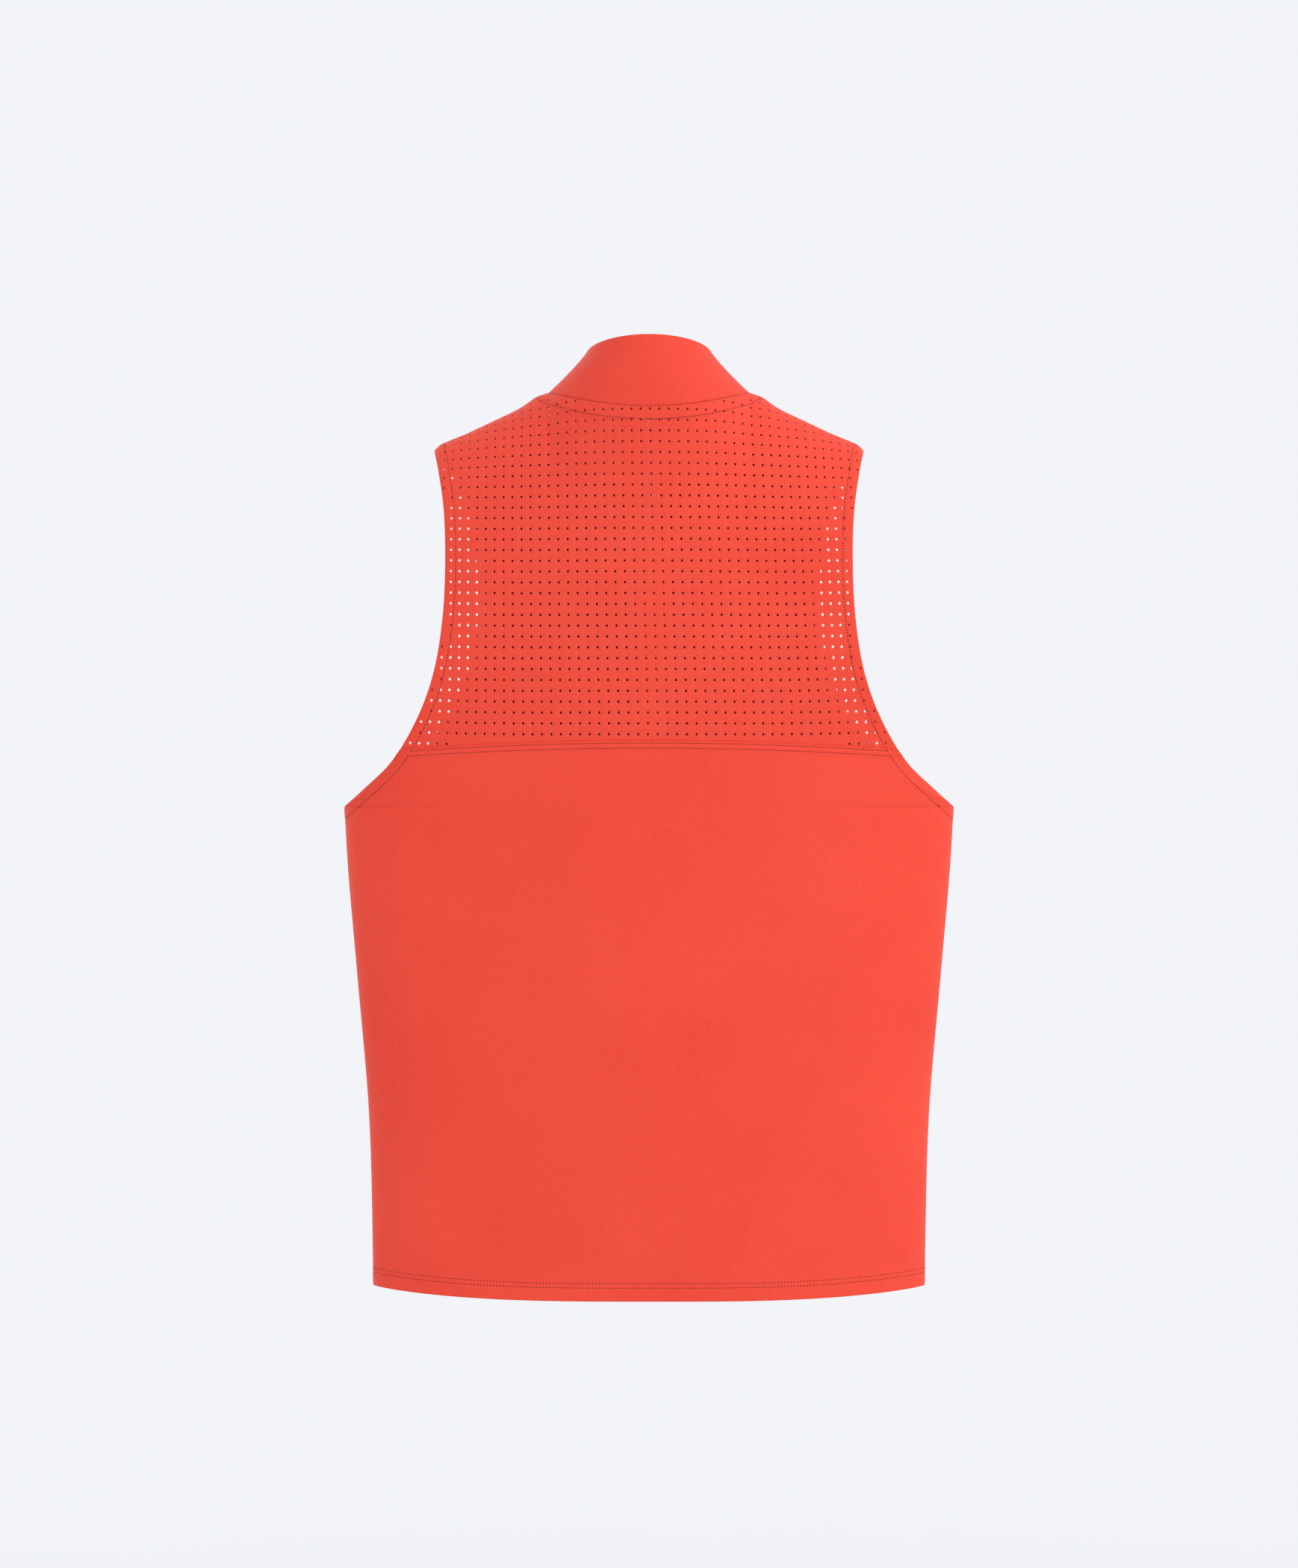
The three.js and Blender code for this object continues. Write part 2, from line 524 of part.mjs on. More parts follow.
// ---- small hard parts ----
function block(x0, x1, y0, y1, z0, z1) {
  const geometry = new THREE.BoxGeometry(x1 - x0, y1 - y0, z1 - z0);
  return geometry.translate((x0 + x1) / 2, (y0 + y1) / 2, (z0 + z1) / 2);
}
function solid(geometry) {
  const bare = geometry.clone();
  bare.deleteAttribute('normal');
  bare.deleteAttribute('uv');
  const merged = BufferGeometryUtils.mergeVertices(bare);
  return new wasm.Manifold(new wasm.Mesh({
    numProp: 3,
    vertProperties: new Float32Array(merged.attributes.position.array),
    triVerts: new Uint32Array(merged.index.array),
  }));
}
const joined = (geometries) => geometries.map(solid).reduce((all, one) => all.add(one));
function geometryOf(manifold) {
  const { vertProperties, triVerts } = manifold.getMesh();
  const geometry = new THREE.BufferGeometry();
  geometry.setAttribute('position', new THREE.BufferAttribute(vertProperties, 3));
  geometry.setIndex(new THREE.BufferAttribute(triVerts, 1));
  return geometry;
}

const STOP_TOP = COLLAR_FRONT_Z - 2;
const STOP_BOTTOM = STOP_TOP - STOP_HEIGHT;
const TEETH_TOP = STOP_BOTTOM - PLY_GAP;
const BOX_BOTTOM = HEM_Z + 1;
const BOX_TOP = BOX_BOTTOM + BOX.height;
const PIN_TOP = BOX_TOP + PIN_LENGTH;
const TEETH_BOTTOM = PIN_TOP + PLY_GAP;
const chainBlock = (z0, z1) => block(TEETH.inner, TEETH.outer, TEETH.front, TEETH.back, z0, z1);
const flipX = (geometry) => {
  const turned = geometry.clone().rotateZ(Math.PI);
  return turned.translate(0, TEETH.front + TEETH.back, 0);
};
add('zip_teeth_left', chainBlock(TEETH_BOTTOM, TEETH_TOP), PLASTIC);
add('zip_teeth_right', flipX(chainBlock(TEETH_BOTTOM, TEETH_TOP)), PLASTIC);
add('zip_stop_left', chainBlock(STOP_BOTTOM, STOP_TOP), PLASTIC);
add('zip_stop_right', flipX(chainBlock(STOP_BOTTOM, STOP_TOP)), PLASTIC);

// The pin's tongue stands in the box's socket; the box carries the other side's pin.
const tongueWall = BOX.wall + PLY_GAP;
const tongue = block(
  TEETH.inner + PLY_GAP, TEETH.outer - tongueWall, TEETH.front + tongueWall, TEETH.back - tongueWall,
  BOX_TOP - BOX.socket + PLY_GAP, BOX_TOP + 1,
);
const pin = chainBlock(BOX_TOP + PLY_GAP, PIN_TOP);
add('insertion_pin', geometryOf(joined([pin, tongue])), PLASTIC);
const socket = block(
  TEETH.inner, TEETH.outer - BOX.wall, TEETH.front + BOX.wall, TEETH.back - BOX.wall,
  BOX_TOP - BOX.socket, BOX_TOP + 1,
);
const boxBody = block(
  -BOX.halfX, BOX.halfX, TEETH.front - BOX.proud, TEETH.back + BOX.proud, BOX_BOTTOM, BOX_TOP,
);
const boxPin = flipX(chainBlock(BOX_TOP - 1, PIN_TOP));
add('retainer_box', geometryOf(joined([boxBody, boxPin]).subtract(solid(socket))), PLASTIC);

// ---- slider, in its own group at the top of its travel ----
const slider = new THREE.Group();
slider.position.set(0, 0, TEETH_TOP - SLIDER.height / 2);
vest.add(slider);
const plateFront = TEETH.front - SLIDER.clear;
const plateBack = TEETH.back + SLIDER.clear;
const halfTall = SLIDER.height / 2;
const sliderX = SLIDER.halfX;
const flangeX = sliderX - SLIDER.flange;
const outerFront = plateFront - SLIDER.plate;
const outerBack = plateBack + SLIDER.plate;
const crownTop = outerFront - CROWN.rise;
const overlap = 0.2;             // how far joined blocks run into each other
const sliderBlocks = [
  block(-sliderX, sliderX, outerFront, plateFront, -halfTall, halfTall),
  block(-sliderX, sliderX, plateBack, outerBack, -halfTall, halfTall),
  block(-SLIDER.postHalf, SLIDER.postHalf, outerFront + overlap, outerBack - overlap, 1, halfTall),
  ...[-1, 1].flatMap((side) => {
    const [x0, x1] = [side * flangeX, side * sliderX].sort((a, b) => a - b);
    return [
      block(x0, x1, outerFront + overlap, plateFront + SLIDER.lip, -halfTall, halfTall),
      block(x0, x1, plateBack - SLIDER.lip / 2, outerBack - overlap, -halfTall, halfTall),
    ];
  }),
  block(-CROWN.halfX, CROWN.halfX, crownTop, crownTop + CROWN.wall, -CROWN.halfZ, CROWN.halfZ),
  ...[-CROWN.halfZ, CROWN.halfZ - CROWN.wall].map(
    (z) => block(-CROWN.halfX, CROWN.halfX, crownTop, outerFront + overlap, z, z + CROWN.wall),
  ),
];
add('slider_body', geometryOf(joined(sliderBlocks)), METAL, slider);

// ---- pull: hangs on a cross bar under the slider's crown ----
const pull = new THREE.Group();
pull.position.set(0, outerFront - PULL.barOff, -PULL.barLow);
slider.add(pull);
const bar = new THREE.CylinderGeometry(PULL.bar, PULL.bar, 2 * PULL.halfX - 0.4, 12).rotateZ(QUARTER);
const pullBlocks = [
  bar,
  ...[-PULL.halfX, PULL.halfX - PULL.arm].map((x) => block(
    x, x + PULL.arm, -PULL.bar, PULL.bar, -PULL.eye - 1, PULL.bar,
  )),
  block(-PULL.halfX, PULL.halfX, -PULL.bar, PULL.bar, -PULL.length, -PULL.eye),
];
add('pull_tab', geometryOf(joined(pullBlocks)), METAL, pull);
const gripBody = block(
  -GRIP.halfX, GRIP.halfX, -GRIP.halfY, GRIP.halfY, -GRIP.start - GRIP.length, -GRIP.start,
);
const gripSocket = block(
  -PULL.halfX - PLY_GAP, PULL.halfX + PLY_GAP, -PULL.bar - PLY_GAP, PULL.bar + PLY_GAP,
  -PULL.length - PLY_GAP, 0,
);
add('pull_grip', geometryOf(solid(gripBody).subtract(solid(gripSocket))), RUBBER, pull);

// ---- wind guard behind the zip: a folded strip, sewn to the left tape ----
const guardFront = outerBack + GUARD.clear;
const guardSewn = -DEPTH_FRONT + FACING_TOP + TAPE + PLY_GAP;
const guardLine = [
  [GUARD.edge, guardSewn], [GUARD.fold, guardSewn], [GUARD.rise, guardFront], [-GUARD.reach, guardFront],
];
const guardShape = new THREE.Shape([
  ...guardLine.map(([x, y]) => new THREE.Vector2(x, y)),
  ...[...guardLine].reverse().map(([x, y]) => new THREE.Vector2(x, y + FACING)),
]);
const guardBottom = HEM_Z + GUARD.bottom;
const guardTop = -NECK_FRONT_DROP - GUARD.top;
const guard = new THREE.ExtrudeGeometry(guardShape, { depth: guardTop - guardBottom, bevelEnabled: false });
add('zip_guard', guard.translate(0, 0, guardBottom), INNER_KNIT);

// ---- hang loop: a flat tape that stands out from the neck tape ----
const loopX = LOOP.halfX;
const loopEdge = neckPoint(Math.PI - Math.asin(loopX / NECK_HALF)).y - FACING_TOP - TAPE - 2 * PLY_GAP;
const loopFar = loopEdge - LOOP.depth;
const loopIn = loopX - LOOP.width;
const loopShape = new THREE.Shape([
  [-loopX, loopEdge], [-loopX, loopFar], [loopX, loopFar], [loopX, loopEdge],
  [loopIn, loopEdge], [loopIn, loopFar + LOOP.width], [-loopIn, loopFar + LOOP.width],
  [-loopIn, loopEdge],
].map(([x, y]) => new THREE.Vector2(x, y)));
const loop = new THREE.ExtrudeGeometry(loopShape, { depth: LOOP.thick, bevelEnabled: false });
add('hang_loop', loop.translate(0, 0, LOOP.z), TAPE_CLOTH);

// ---- care label, blank, on the inside by the left side seam ----
const labelHeights = [LABEL.top - LABEL.height, LABEL.top].map((z) => () => z);
const LABEL_COLUMNS = PANEL_COLUMNS.slice(-3, -1);
// How far the straight label would reach past the panel's bends behind it.
const labelReach = LABEL_COLUMNS.flatMap((angle) => {
  const [foot, head] = labelHeights.map((heightAt) => bodyCorner(angle, heightAt(), false).point);
  return lowHeights.map((heightAt) => {
    const bend = bodyCorner(angle, heightAt(Math.sin(angle)), false);
    const share = (bend.point.z - foot.z) / (head.z - foot.z);
    const inLabel = share > 0 && share < 1;
    return inLabel ? foot.clone().lerp(head, share).sub(bend.point).dot(bend.normal) : 0;
  });
});
const labelCells = gridPatch(backGrid(LABEL_COLUMNS, labelHeights));
const LABEL_TOP = Math.max(
  FABRIC + 1.5 * PLY_GAP, FABRIC + PLY_GAP + Math.max(...labelReach),
);
add('care_label', clothSheet(labelCells, LABEL_TOP, LABEL_TOP + TAPE), LABEL_CLOTH);

export default vest;
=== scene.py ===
import math

import bpy
import numpy as np
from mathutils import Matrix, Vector
from mathutils.geometry import delaunay_2d_cdt


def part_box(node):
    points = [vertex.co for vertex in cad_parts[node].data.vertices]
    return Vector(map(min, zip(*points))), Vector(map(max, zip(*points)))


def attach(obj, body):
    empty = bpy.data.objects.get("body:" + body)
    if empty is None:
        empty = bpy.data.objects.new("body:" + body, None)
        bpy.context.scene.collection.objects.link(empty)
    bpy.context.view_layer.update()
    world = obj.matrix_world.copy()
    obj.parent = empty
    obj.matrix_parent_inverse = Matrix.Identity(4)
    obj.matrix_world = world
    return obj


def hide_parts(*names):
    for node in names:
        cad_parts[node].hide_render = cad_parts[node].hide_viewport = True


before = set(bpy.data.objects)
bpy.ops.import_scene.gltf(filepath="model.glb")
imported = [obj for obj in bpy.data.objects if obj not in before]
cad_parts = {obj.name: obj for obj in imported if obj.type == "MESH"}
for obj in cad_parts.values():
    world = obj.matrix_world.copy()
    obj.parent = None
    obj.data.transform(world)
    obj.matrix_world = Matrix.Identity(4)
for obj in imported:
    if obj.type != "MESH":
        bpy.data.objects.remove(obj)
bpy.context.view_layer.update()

# Sizes are millimetres in the CAD's frame; meshes are scaled to metres as they are made.
MM = 0.001

# ---- cut of the vest, as in the CAD ----
CHEST_HALF, WAIST_HALF, HEM_HALF = 250.5, 230.0, 226.5
DEPTH_BACK, DEPTH_FRONT, HEM_TUCK = 65.0, 72.0, 6.0
UNDERARM_Z, HEM_Z, HEM_RISE = -340.0, -743.2, 10.2
SHOULDER_HALF, SHOULDER_DROP = 176.5, 47.3
ARMHOLE_NARROW, ARMHOLE_HOLLOW, ARMHOLE_BACK, ARMHOLE_FRONT = 166.2, 26.0, 58.0, 60.0
CHEST_SWELL, CHEST_SWELL_Z, CHEST_SWELL_SPREAD = 11.0, -235.0, 150.0
YOKE_Z, YOKE_DIP, FORWARD_SEAM = -286.0, 7.0, 45.0
NECK_HALF, NECK_BACK, NECK_BACK_DROP, NECK_FRONT_DROP = 83.0, 62.0, 12.9, 75.0
COLLAR_TOP_HALF, COLLAR_TOP_BACK, COLLAR_TOP_Z = 51.0, 57.0, 45.5
COLLAR_SIDE_Z, COLLAR_FRONT_Z, COLLAR_LEAN = 33.0, -14.0, 1.12
FABRIC, COLLAR_PLY, FACING, TAPE = 1.2, 1.0, 0.8, 0.6
PLY_GAP, SEAM_GAP = 0.3, 0.02
ARM_HEM, BOTTOM_HEM, NECK_TAPE = 9.0, 15.0, 12.0
ZIP_EDGE, ZIP_TAPE_EDGE, LINING_EDGE = 5.0, 16.0, 17.0
TEETH_INNER, TEETH_OUTER, TEETH_FRONT, TEETH_BACK = 0.6, 2.9, -71.9, -69.2
QUARTER = math.pi / 2
MIRROR = np.array([-1.0, 1.0, 1.0])
SIDES = (("left", np.ones(3)), ("right", MIRROR))
# Stitch rows and raised bands, as distances from an edge or seam.
SEAM_ROWS, HEM_ROWS, ZIP_ROW, ARM_ROW, NECK_ROW = (2.0, 6.2), (11.0, 14.6), 6.4, 8.4, 11.1
SEAM_BAND, FORWARD_BAND, HEM_BAND, ZIP_BAND, ARM_BAND, NECK_BAND = 7.4, 7.0, 15.6, 7.6, 9.3, 12.6
# Length of a front column from the underarm to the forward seam, and a distance beyond every band.
FORWARD_RUN, FAR = 330.0, 99.0
NECK_ANGLE = math.asin(NECK_HALF / SHOULDER_HALF)
FACING_TOP = FABRIC + PLY_GAP
FACING_UNDER = FACING_TOP + FACING
SEAM_SHARE = 1 - FORWARD_SEAM / -UNDERARM_Z
HALF_SEAM = SEAM_GAP / 2 / -UNDERARM_Z
FORWARD_EDGE = SEAM_SHARE - HALF_SEAM


def smooth_curve(knots):
    """A smooth curve through (t, value) knots, as a function of an array t."""
    ts, vs = (np.array(column, float) for column in zip(*knots))
    last = len(ts) - 1
    slopes = np.array([
        (vs[min(i + 1, last)] - vs[max(i - 1, 0)]) / (ts[min(i + 1, last)] - ts[max(i - 1, 0)])
        for i in range(last + 1)
    ])

    def value(t):
        t = np.clip(t, ts[0], ts[-1])
        i = np.clip(np.searchsorted(ts, t, side="right") - 1, 0, last - 1)
        h = ts[i + 1] - ts[i]
        s = (t - ts[i]) / h
        rise = s * s * (3 - 2 * s)
        bend = h * s * (1 - s) * ((1 - s) * slopes[i] - s * slopes[i + 1])
        return vs[i] + (vs[i + 1] - vs[i]) * rise + bend

    return value


side_share = smooth_curve([
    (0, HEM_HALF), (0.36, WAIST_HALF),
    (0.66, WAIST_HALF + 0.49 * (CHEST_HALF - WAIST_HALF)),
    (0.87, WAIST_HALF + 0.85 * (CHEST_HALF - WAIST_HALF)), (1, CHEST_HALF),
])
armhole_in = smooth_curve([
    (0, 1), (0.045, 0.82), (0.125, 0.53), (0.25, 0.27), (0.38, 0.11), (0.53, 0.026),
    (0.68, 0), (1, 0),
])
armhole_out = smooth_curve([(0, 0), (0.68, 0), (0.83, 0.17), (0.94, 0.62), (1, 1)])
shoulder_share = smooth_curve([
    (0, 0), (0.12, 0.09), (0.25, 0.26), (0.48, 0.48), (0.7, 0.685), (0.94, 0.89), (1, 1),
])


def shoulder_line(x):
    """Height of the shoulder ridge at x."""
    share = (np.abs(x) - NECK_HALF) / (SHOULDER_HALF - NECK_HALF)
    return -SHOULDER_DROP * shoulder_share(share)


def hem_line(u):
    """Height of the bottom edge; u is 0 at the middle and 1 at the side seam."""
    return HEM_Z + HEM_RISE * np.abs(u) ** 3.2


def yoke_line(u):
    return YOKE_Z - YOKE_DIP * u * u


def oval(share):
    return np.sqrt(np.maximum(0, 1 - (2 * share - 1) ** 2))


def half_width(z, front):
    """Half the garment's width at height z."""
    low = side_share((z - HEM_Z) / (UNDERARM_Z - HEM_Z))
    share = np.clip((z - UNDERARM_Z) / (-SHOULDER_DROP - UNDERARM_Z), 0, 1)
    high = (
        ARMHOLE_NARROW + armhole_in(share) * (CHEST_HALF - ARMHOLE_NARROW)
        + armhole_out(share) * (SHOULDER_HALF - ARMHOLE_NARROW)
        - (ARMHOLE_HOLLOW * oval(share) ** 1.4 if front else 0)
    )
    return np.where(z <= UNDERARM_Z, low, high)


def front_plan(phi):
    return np.maximum(0, 1 - np.abs(np.sin(phi)) ** 2.6) ** (1 / 2.6)


def neck_point(phi):
    """The ring at the foot of the collar: phi is 0 at the centre front and pi behind."""
    ahead = np.cos(phi)
    y = np.where(ahead > 0, -DEPTH_FRONT * front_plan(phi), -NECK_BACK * ahead)
    drop = np.where(
        ahead > 0, NECK_FRONT_DROP * np.maximum(ahead, 0) ** 1.5, NECK_BACK_DROP * ahead**2
    )
    return np.stack([NECK_HALF * np.sin(phi), y, -drop], -1)


def neck_phi_at(z):
    """The neck ring's angle at a height, ahead of the shoulders."""
    return np.arccos(np.minimum(1, np.maximum(0, -z / NECK_FRONT_DROP) ** (1 / 1.5)))


def top_table():
    """Depth and height at which each column of the back meets the neck or shoulder line."""
    u = np.linspace(0, 1, 2401)
    phi = np.full_like(u, QUARTER)
    for _ in range(20):
        width = half_width(neck_point(phi)[:, 2], False)
        phi = math.pi - np.arcsin(np.minimum(1, u * width / NECK_HALF))
    neck = neck_point(phi)
    outside = u * SHOULDER_HALF >= NECK_HALF
    y = np.where(outside, 0, neck[:, 1])
    z = np.where(outside, shoulder_line(u * SHOULDER_HALF), neck[:, 2])
    return u, y, z


TOP_U, TOP_Y, TOP_Z = top_table()


def front_top(u):
    return np.where(np.abs(u) * SHOULDER_HALF > NECK_HALF, shoulder_line(u * SHOULDER_HALF), 0)


def top_height(u, front):
    """Height at which a column ends at the neck or shoulder."""
    return front_top(u) if front else np.interp(np.abs(u), TOP_U, TOP_Z)


def side_turn(across, share):
    """How far the surface has turned toward the side: 0 at the middle, 1 at the edge."""
    open_ = np.clip(share / 0.2, 0, 1)
    power = 0.42 + 0.58 * open_ * open_ * (3 - 2 * open_)
    return 1 - np.maximum(0, 1 - across * across) ** power


EASE_HEIGHT, EASE_REACH, EASE_SIDE = 60.0, 26.0, 18.0
EASE = ((-1.0, 0.12), (-0.6, 0.2), (0.0, 0.36), (0.6, 0.2), (1.0, 0.12))


def eased(depth, u, z, front):
    """A depth averaged over heights near the underarm, where its slope would break."""
    u, z = np.broadcast_arrays(np.abs(np.asarray(u, float)), np.asarray(z, float))
    half = half_width(z, front)
    x = u * half
    reach = EASE_REACH * np.exp(-(((z - UNDERARM_Z) / EASE_HEIGHT) ** 2))
    reach = reach * np.clip((half - x) / EASE_SIDE, 0, 1)
    total = 0.0
    for step, weight in EASE:
        at = z + step * reach
        total = total + weight * depth(np.minimum(1, x / half_width(at, front)), at)
    return total


def back_depth(u, z):
    return eased(raw_back_depth, u, z, False)


def front_depth(u, z):
    return eased(raw_front_depth, u, z, True)


def raw_back_depth(u, z):
    low = np.maximum(0, (UNDERARM_Z - z) / (UNDERARM_Z - HEM_Z))
    top_y, top_z = np.interp(np.abs(u), TOP_U, TOP_Y), np.interp(np.abs(u), TOP_U, TOP_Z)
    share = np.clip((z - UNDERARM_Z) / (top_z - UNDERARM_Z), 0, 1)
    turn = side_turn(u, share)
    flat = (DEPTH_BACK - HEM_TUCK * low) * (1 - turn)
    at_top = np.minimum(0.99999, np.abs(top_y) / np.maximum(flat, 0.001))
    climb = (1 - at_top ** (1 / 0.42)) ** 0.25
    arch = np.maximum(0, 1 - (share * climb) ** 4) ** 0.42
    return flat * arch + turn * ARMHOLE_BACK * oval(share)


def raw_front_depth(u, z):
    share = np.clip((z - UNDERARM_Z) / (front_top(u) - UNDERARM_Z), 0, 1)
    neck_z = UNDERARM_Z * (1 - share)
    phi = neck_phi_at(neck_z)
    inner = NECK_HALF * np.sin(phi) / half_width(neck_z, True)
    across = np.maximum(0, (np.abs(u) - inner) / (1 - inner))
    turn = side_turn(across, share)
    swell = (
        CHEST_SWELL * np.sin(across * math.pi) ** 2 * (1 - share * share)
        * np.exp(-(((z - CHEST_SWELL_Z) / CHEST_SWELL_SPREAD) ** 2))
    )
    return DEPTH_FRONT * front_plan(phi) * (1 - turn) + turn * ARMHOLE_FRONT * oval(share) + swell


def body_point(u, z, front):
    """A point of the body at column u and height z."""
    y = -front_depth(u, z) if front else back_depth(u, z)
    return np.stack([u * half_width(z, front), y, z + 0 * u], -1)


def row_height(u, row, front):
    """Height of a row: -1 is the hem, 0 the underarm and 1 the neck or shoulder."""
    hem = hem_line(u)
    low = hem + (row + 1) * (UNDERARM_Z - hem)
    high = UNDERARM_Z + row * (top_height(u, front) - UNDERARM_Z)
    return np.where(row <= 0, low, high)


def unit(v):
    return v / np.maximum(np.linalg.norm(v, axis=-1, keepdims=True), 1e-12)


def corner(angle, z, front):
    """Point and outward direction on the body at column angle and height z, as arrays."""
    angle, z = np.broadcast_arrays(np.asarray(angle, float), np.asarray(z, float))
    a = np.abs(angle)
    u = np.sin(a)
    span = np.where(z <= UNDERARM_Z, UNDERARM_Z - hem_line(u), top_height(u, front) - UNDERARM_Z)
    row = np.minimum(1, (z - UNDERARM_Z) / span)
    neck = a < NECK_ANGLE - 1e-6
    low_a, high_a = np.where(neck, -NECK_ANGLE, NECK_ANGLE), np.where(neck, NECK_ANGLE, QUARTER)
    low_r, high_r = np.where(row <= 0, -1.0, 0.0), np.where(row <= 0, 0.0, 1.0)

    def at(b, r):
        v = np.sin(b)
        return body_point(v, row_height(v, r, front), front)

    step = 0.006
    along_a = at(np.minimum(high_a, a + step), row) - at(np.maximum(low_a, a - step), row)
    along_r = at(a, np.minimum(high_r, row + step)) - at(a, np.maximum(low_r, row - step))
    normal = unit(np.cross(along_a, along_r))
    point = body_point(u, z, front)
    seam = np.abs(point[..., 1]) < 1e-3
    normal[..., 1] = np.where(seam, 0, normal[..., 1])
    normal = unit(normal)
    out = np.stack([u / 2, np.full_like(u, -1.0 if front else 1.0), np.maximum(0, row) ** 8], -1)
    normal *= np.where((normal * out).sum(-1, keepdims=True) < 0, -1, 1)
    point[..., 1] = np.where(
        seam & (row <= 0), (-1 if front else 1) * SEAM_GAP / 2, point[..., 1]
    )
    side = np.where(angle < 0, -1.0, 1.0)
    point[..., 0] *= side
    normal[..., 0] *= side
    return point, normal


def collar_half(s):
    """Half the collar's width; s is 0 at its foot and 1 at its top edge."""
    return NECK_HALF - (NECK_HALF - COLLAR_TOP_HALF) * (1 - (1 - s) ** COLLAR_LEAN)


def collar_point(phi, s):
    """A point of the collar, on the wearer's left."""
    taper = 1 - (1 - s) ** COLLAR_LEAN
    half = collar_half(s)
    ahead = np.cos(phi)
    foot = neck_point(phi)
    rise = np.where(
        ahead > 0, (COLLAR_FRONT_Z - COLLAR_SIDE_Z) * np.maximum(ahead, 0) ** 1.5,
        (COLLAR_TOP_Z - COLLAR_SIDE_Z) * np.abs(ahead) ** 1.1,
    )
    top = COLLAR_SIDE_Z + rise
    lean = np.where(ahead > 0, 0, (NECK_BACK - COLLAR_TOP_BACK) * taper)
    z = foot[..., 2] + s * (top - foot[..., 2]) + SEAM_GAP
    return np.stack([half * np.sin(phi), foot[..., 1] + lean * ahead, z], -1)


def collar_corner(phi, s):
    """phi runs right round: below 0 and above pi it is on the other side."""
    phi, s = np.broadcast_arrays(np.asarray(phi, float), np.asarray(s, float))
    side = np.where((phi < 0) | (phi > math.pi), -1.0, 1.0)
    p = np.where(phi < 0, -phi, np.where(phi > math.pi, 2 * math.pi - phi, phi))
    along_p = collar_point(p + 0.02, s) - collar_point(p - 0.02, s)
    along_s = collar_point(p, np.minimum(1, s + 0.02)) - collar_point(p, np.maximum(0, s - 0.02))
    normal = unit(np.cross(along_p, along_s))
    point = collar_point(p, s)
    out = normal[..., 0] * point[..., 0] + normal[..., 1] * point[..., 1]
    normal *= np.where(out < 0, -1, 1)[..., None]
    point[..., 0] *= side
    normal[..., 0] *= side
    return point, normal


# ---- relief of sewn cloth: how far the face stands out, from distances to edges and seams ----
def soft_step(d, at, soft):
    s = np.clip((d - at) / soft + 0.5, 0, 1)
    return s * s * (3 - 2 * s)


def band(d, width, rise, rows=(), roll=0.6, groove=0.34, soft=1.4):
    """A doubled strip along an edge: raised to its width, pulled in at the stitch rows."""
    lift = rise * (1 - soft_step(d, width, soft)) - roll * np.exp(-((d / 0.55) ** 2))
    for at in rows:
        lift = lift - groove * np.exp(-(((d - at) / 0.62) ** 2))
    return lift


def wave(x, z, front):
    """Slow unevenness of the cloth, gone at the side seams, the neck and the zip."""
    side = 1.3 if front else -0.4
    level = (-90 - z) / 80 if front else (-30 - z) / 90
    fade = np.clip(level, 0, 1) * np.clip(1 - (x / half_width(z, front)) ** 2, 0, 1)
    if front:
        fade = fade * np.clip((np.abs(x) - 18) / 40, 0, 1)
    broad = 0.9 * np.sin(x / 52 + side + z / 150) * np.sin(z / 88 + 0.6 + side)
    small = 0.35 * np.sin(x / 27 - z / 61 + 2.1 * side)
    return fade * (broad + small)


# ---- meshes ----
def add_mesh(
    name, points, faces, material, nodes=(), body="vest", sharp=48, uv=None, rim=None,
    back=None, back_faces=None,
):
    mesh = bpy.data.meshes.new(name)
    mesh.from_pydata((np.asarray(points) * MM).tolist(), [], faces)
    mesh.update()
    if uv is not None:
        loops = np.zeros(len(mesh.loops), np.int32)
        mesh.loops.foreach_get("vertex_index", loops)
        layer = mesh.uv_layers.new(name="flat")
        layer.data.foreach_set("uv", (np.asarray(uv)[loops] * MM).astype(np.float32).ravel())
    # rim marks the vertices at the edges of holes; the knit paints a highlight there.
    if rim is not None:
        edge = mesh.attributes.new("rim", "FLOAT", "POINT")
        edge.data.foreach_set("value", np.asarray(rim, np.float32))
    mesh.polygons.foreach_set("use_smooth", [True] * len(mesh.polygons))
    mesh.set_sharp_from_angle(angle=math.radians(sharp))
    mesh.materials.append(material)
    # The second material goes on the faces in back_faces; the body panels and yoke pass SHADE here,
    # painted shade on their inner faces.
    if back is not None:
        mesh.materials.append(back)
        mesh.polygons.foreach_set("material_index", np.asarray(back_faces, np.int32))
    piece = bpy.data.objects.new(name, mesh)
    bpy.context.scene.collection.objects.link(piece)
    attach(piece, body)
    if nodes:
        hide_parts(*nodes)
    return piece


def grid_faces(rows, columns):
    at = np.arange(rows * columns).reshape(rows, columns)
    quads = np.stack([at[:-1, :-1], at[:-1, 1:], at[1:, 1:], at[1:, :-1]], -1)
    return quads.reshape(-1, 4)


def flat_map(points):
    """Lengths along the middle row and up the middle column of a grid, as flat coordinates."""
    across = np.linalg.norm(np.diff(points, axis=1), axis=2).cumsum(1)
    across = np.pad(across, ((0, 0), (1, 0)))
    across = across - across[:, across.shape[1] // 2 : across.shape[1] // 2 + 1]
    up = np.linalg.norm(np.diff(points, axis=0), axis=2).cumsum(0)
    up = np.pad(up, ((1, 0), (0, 0)))
    return np.stack([across, up], -1)


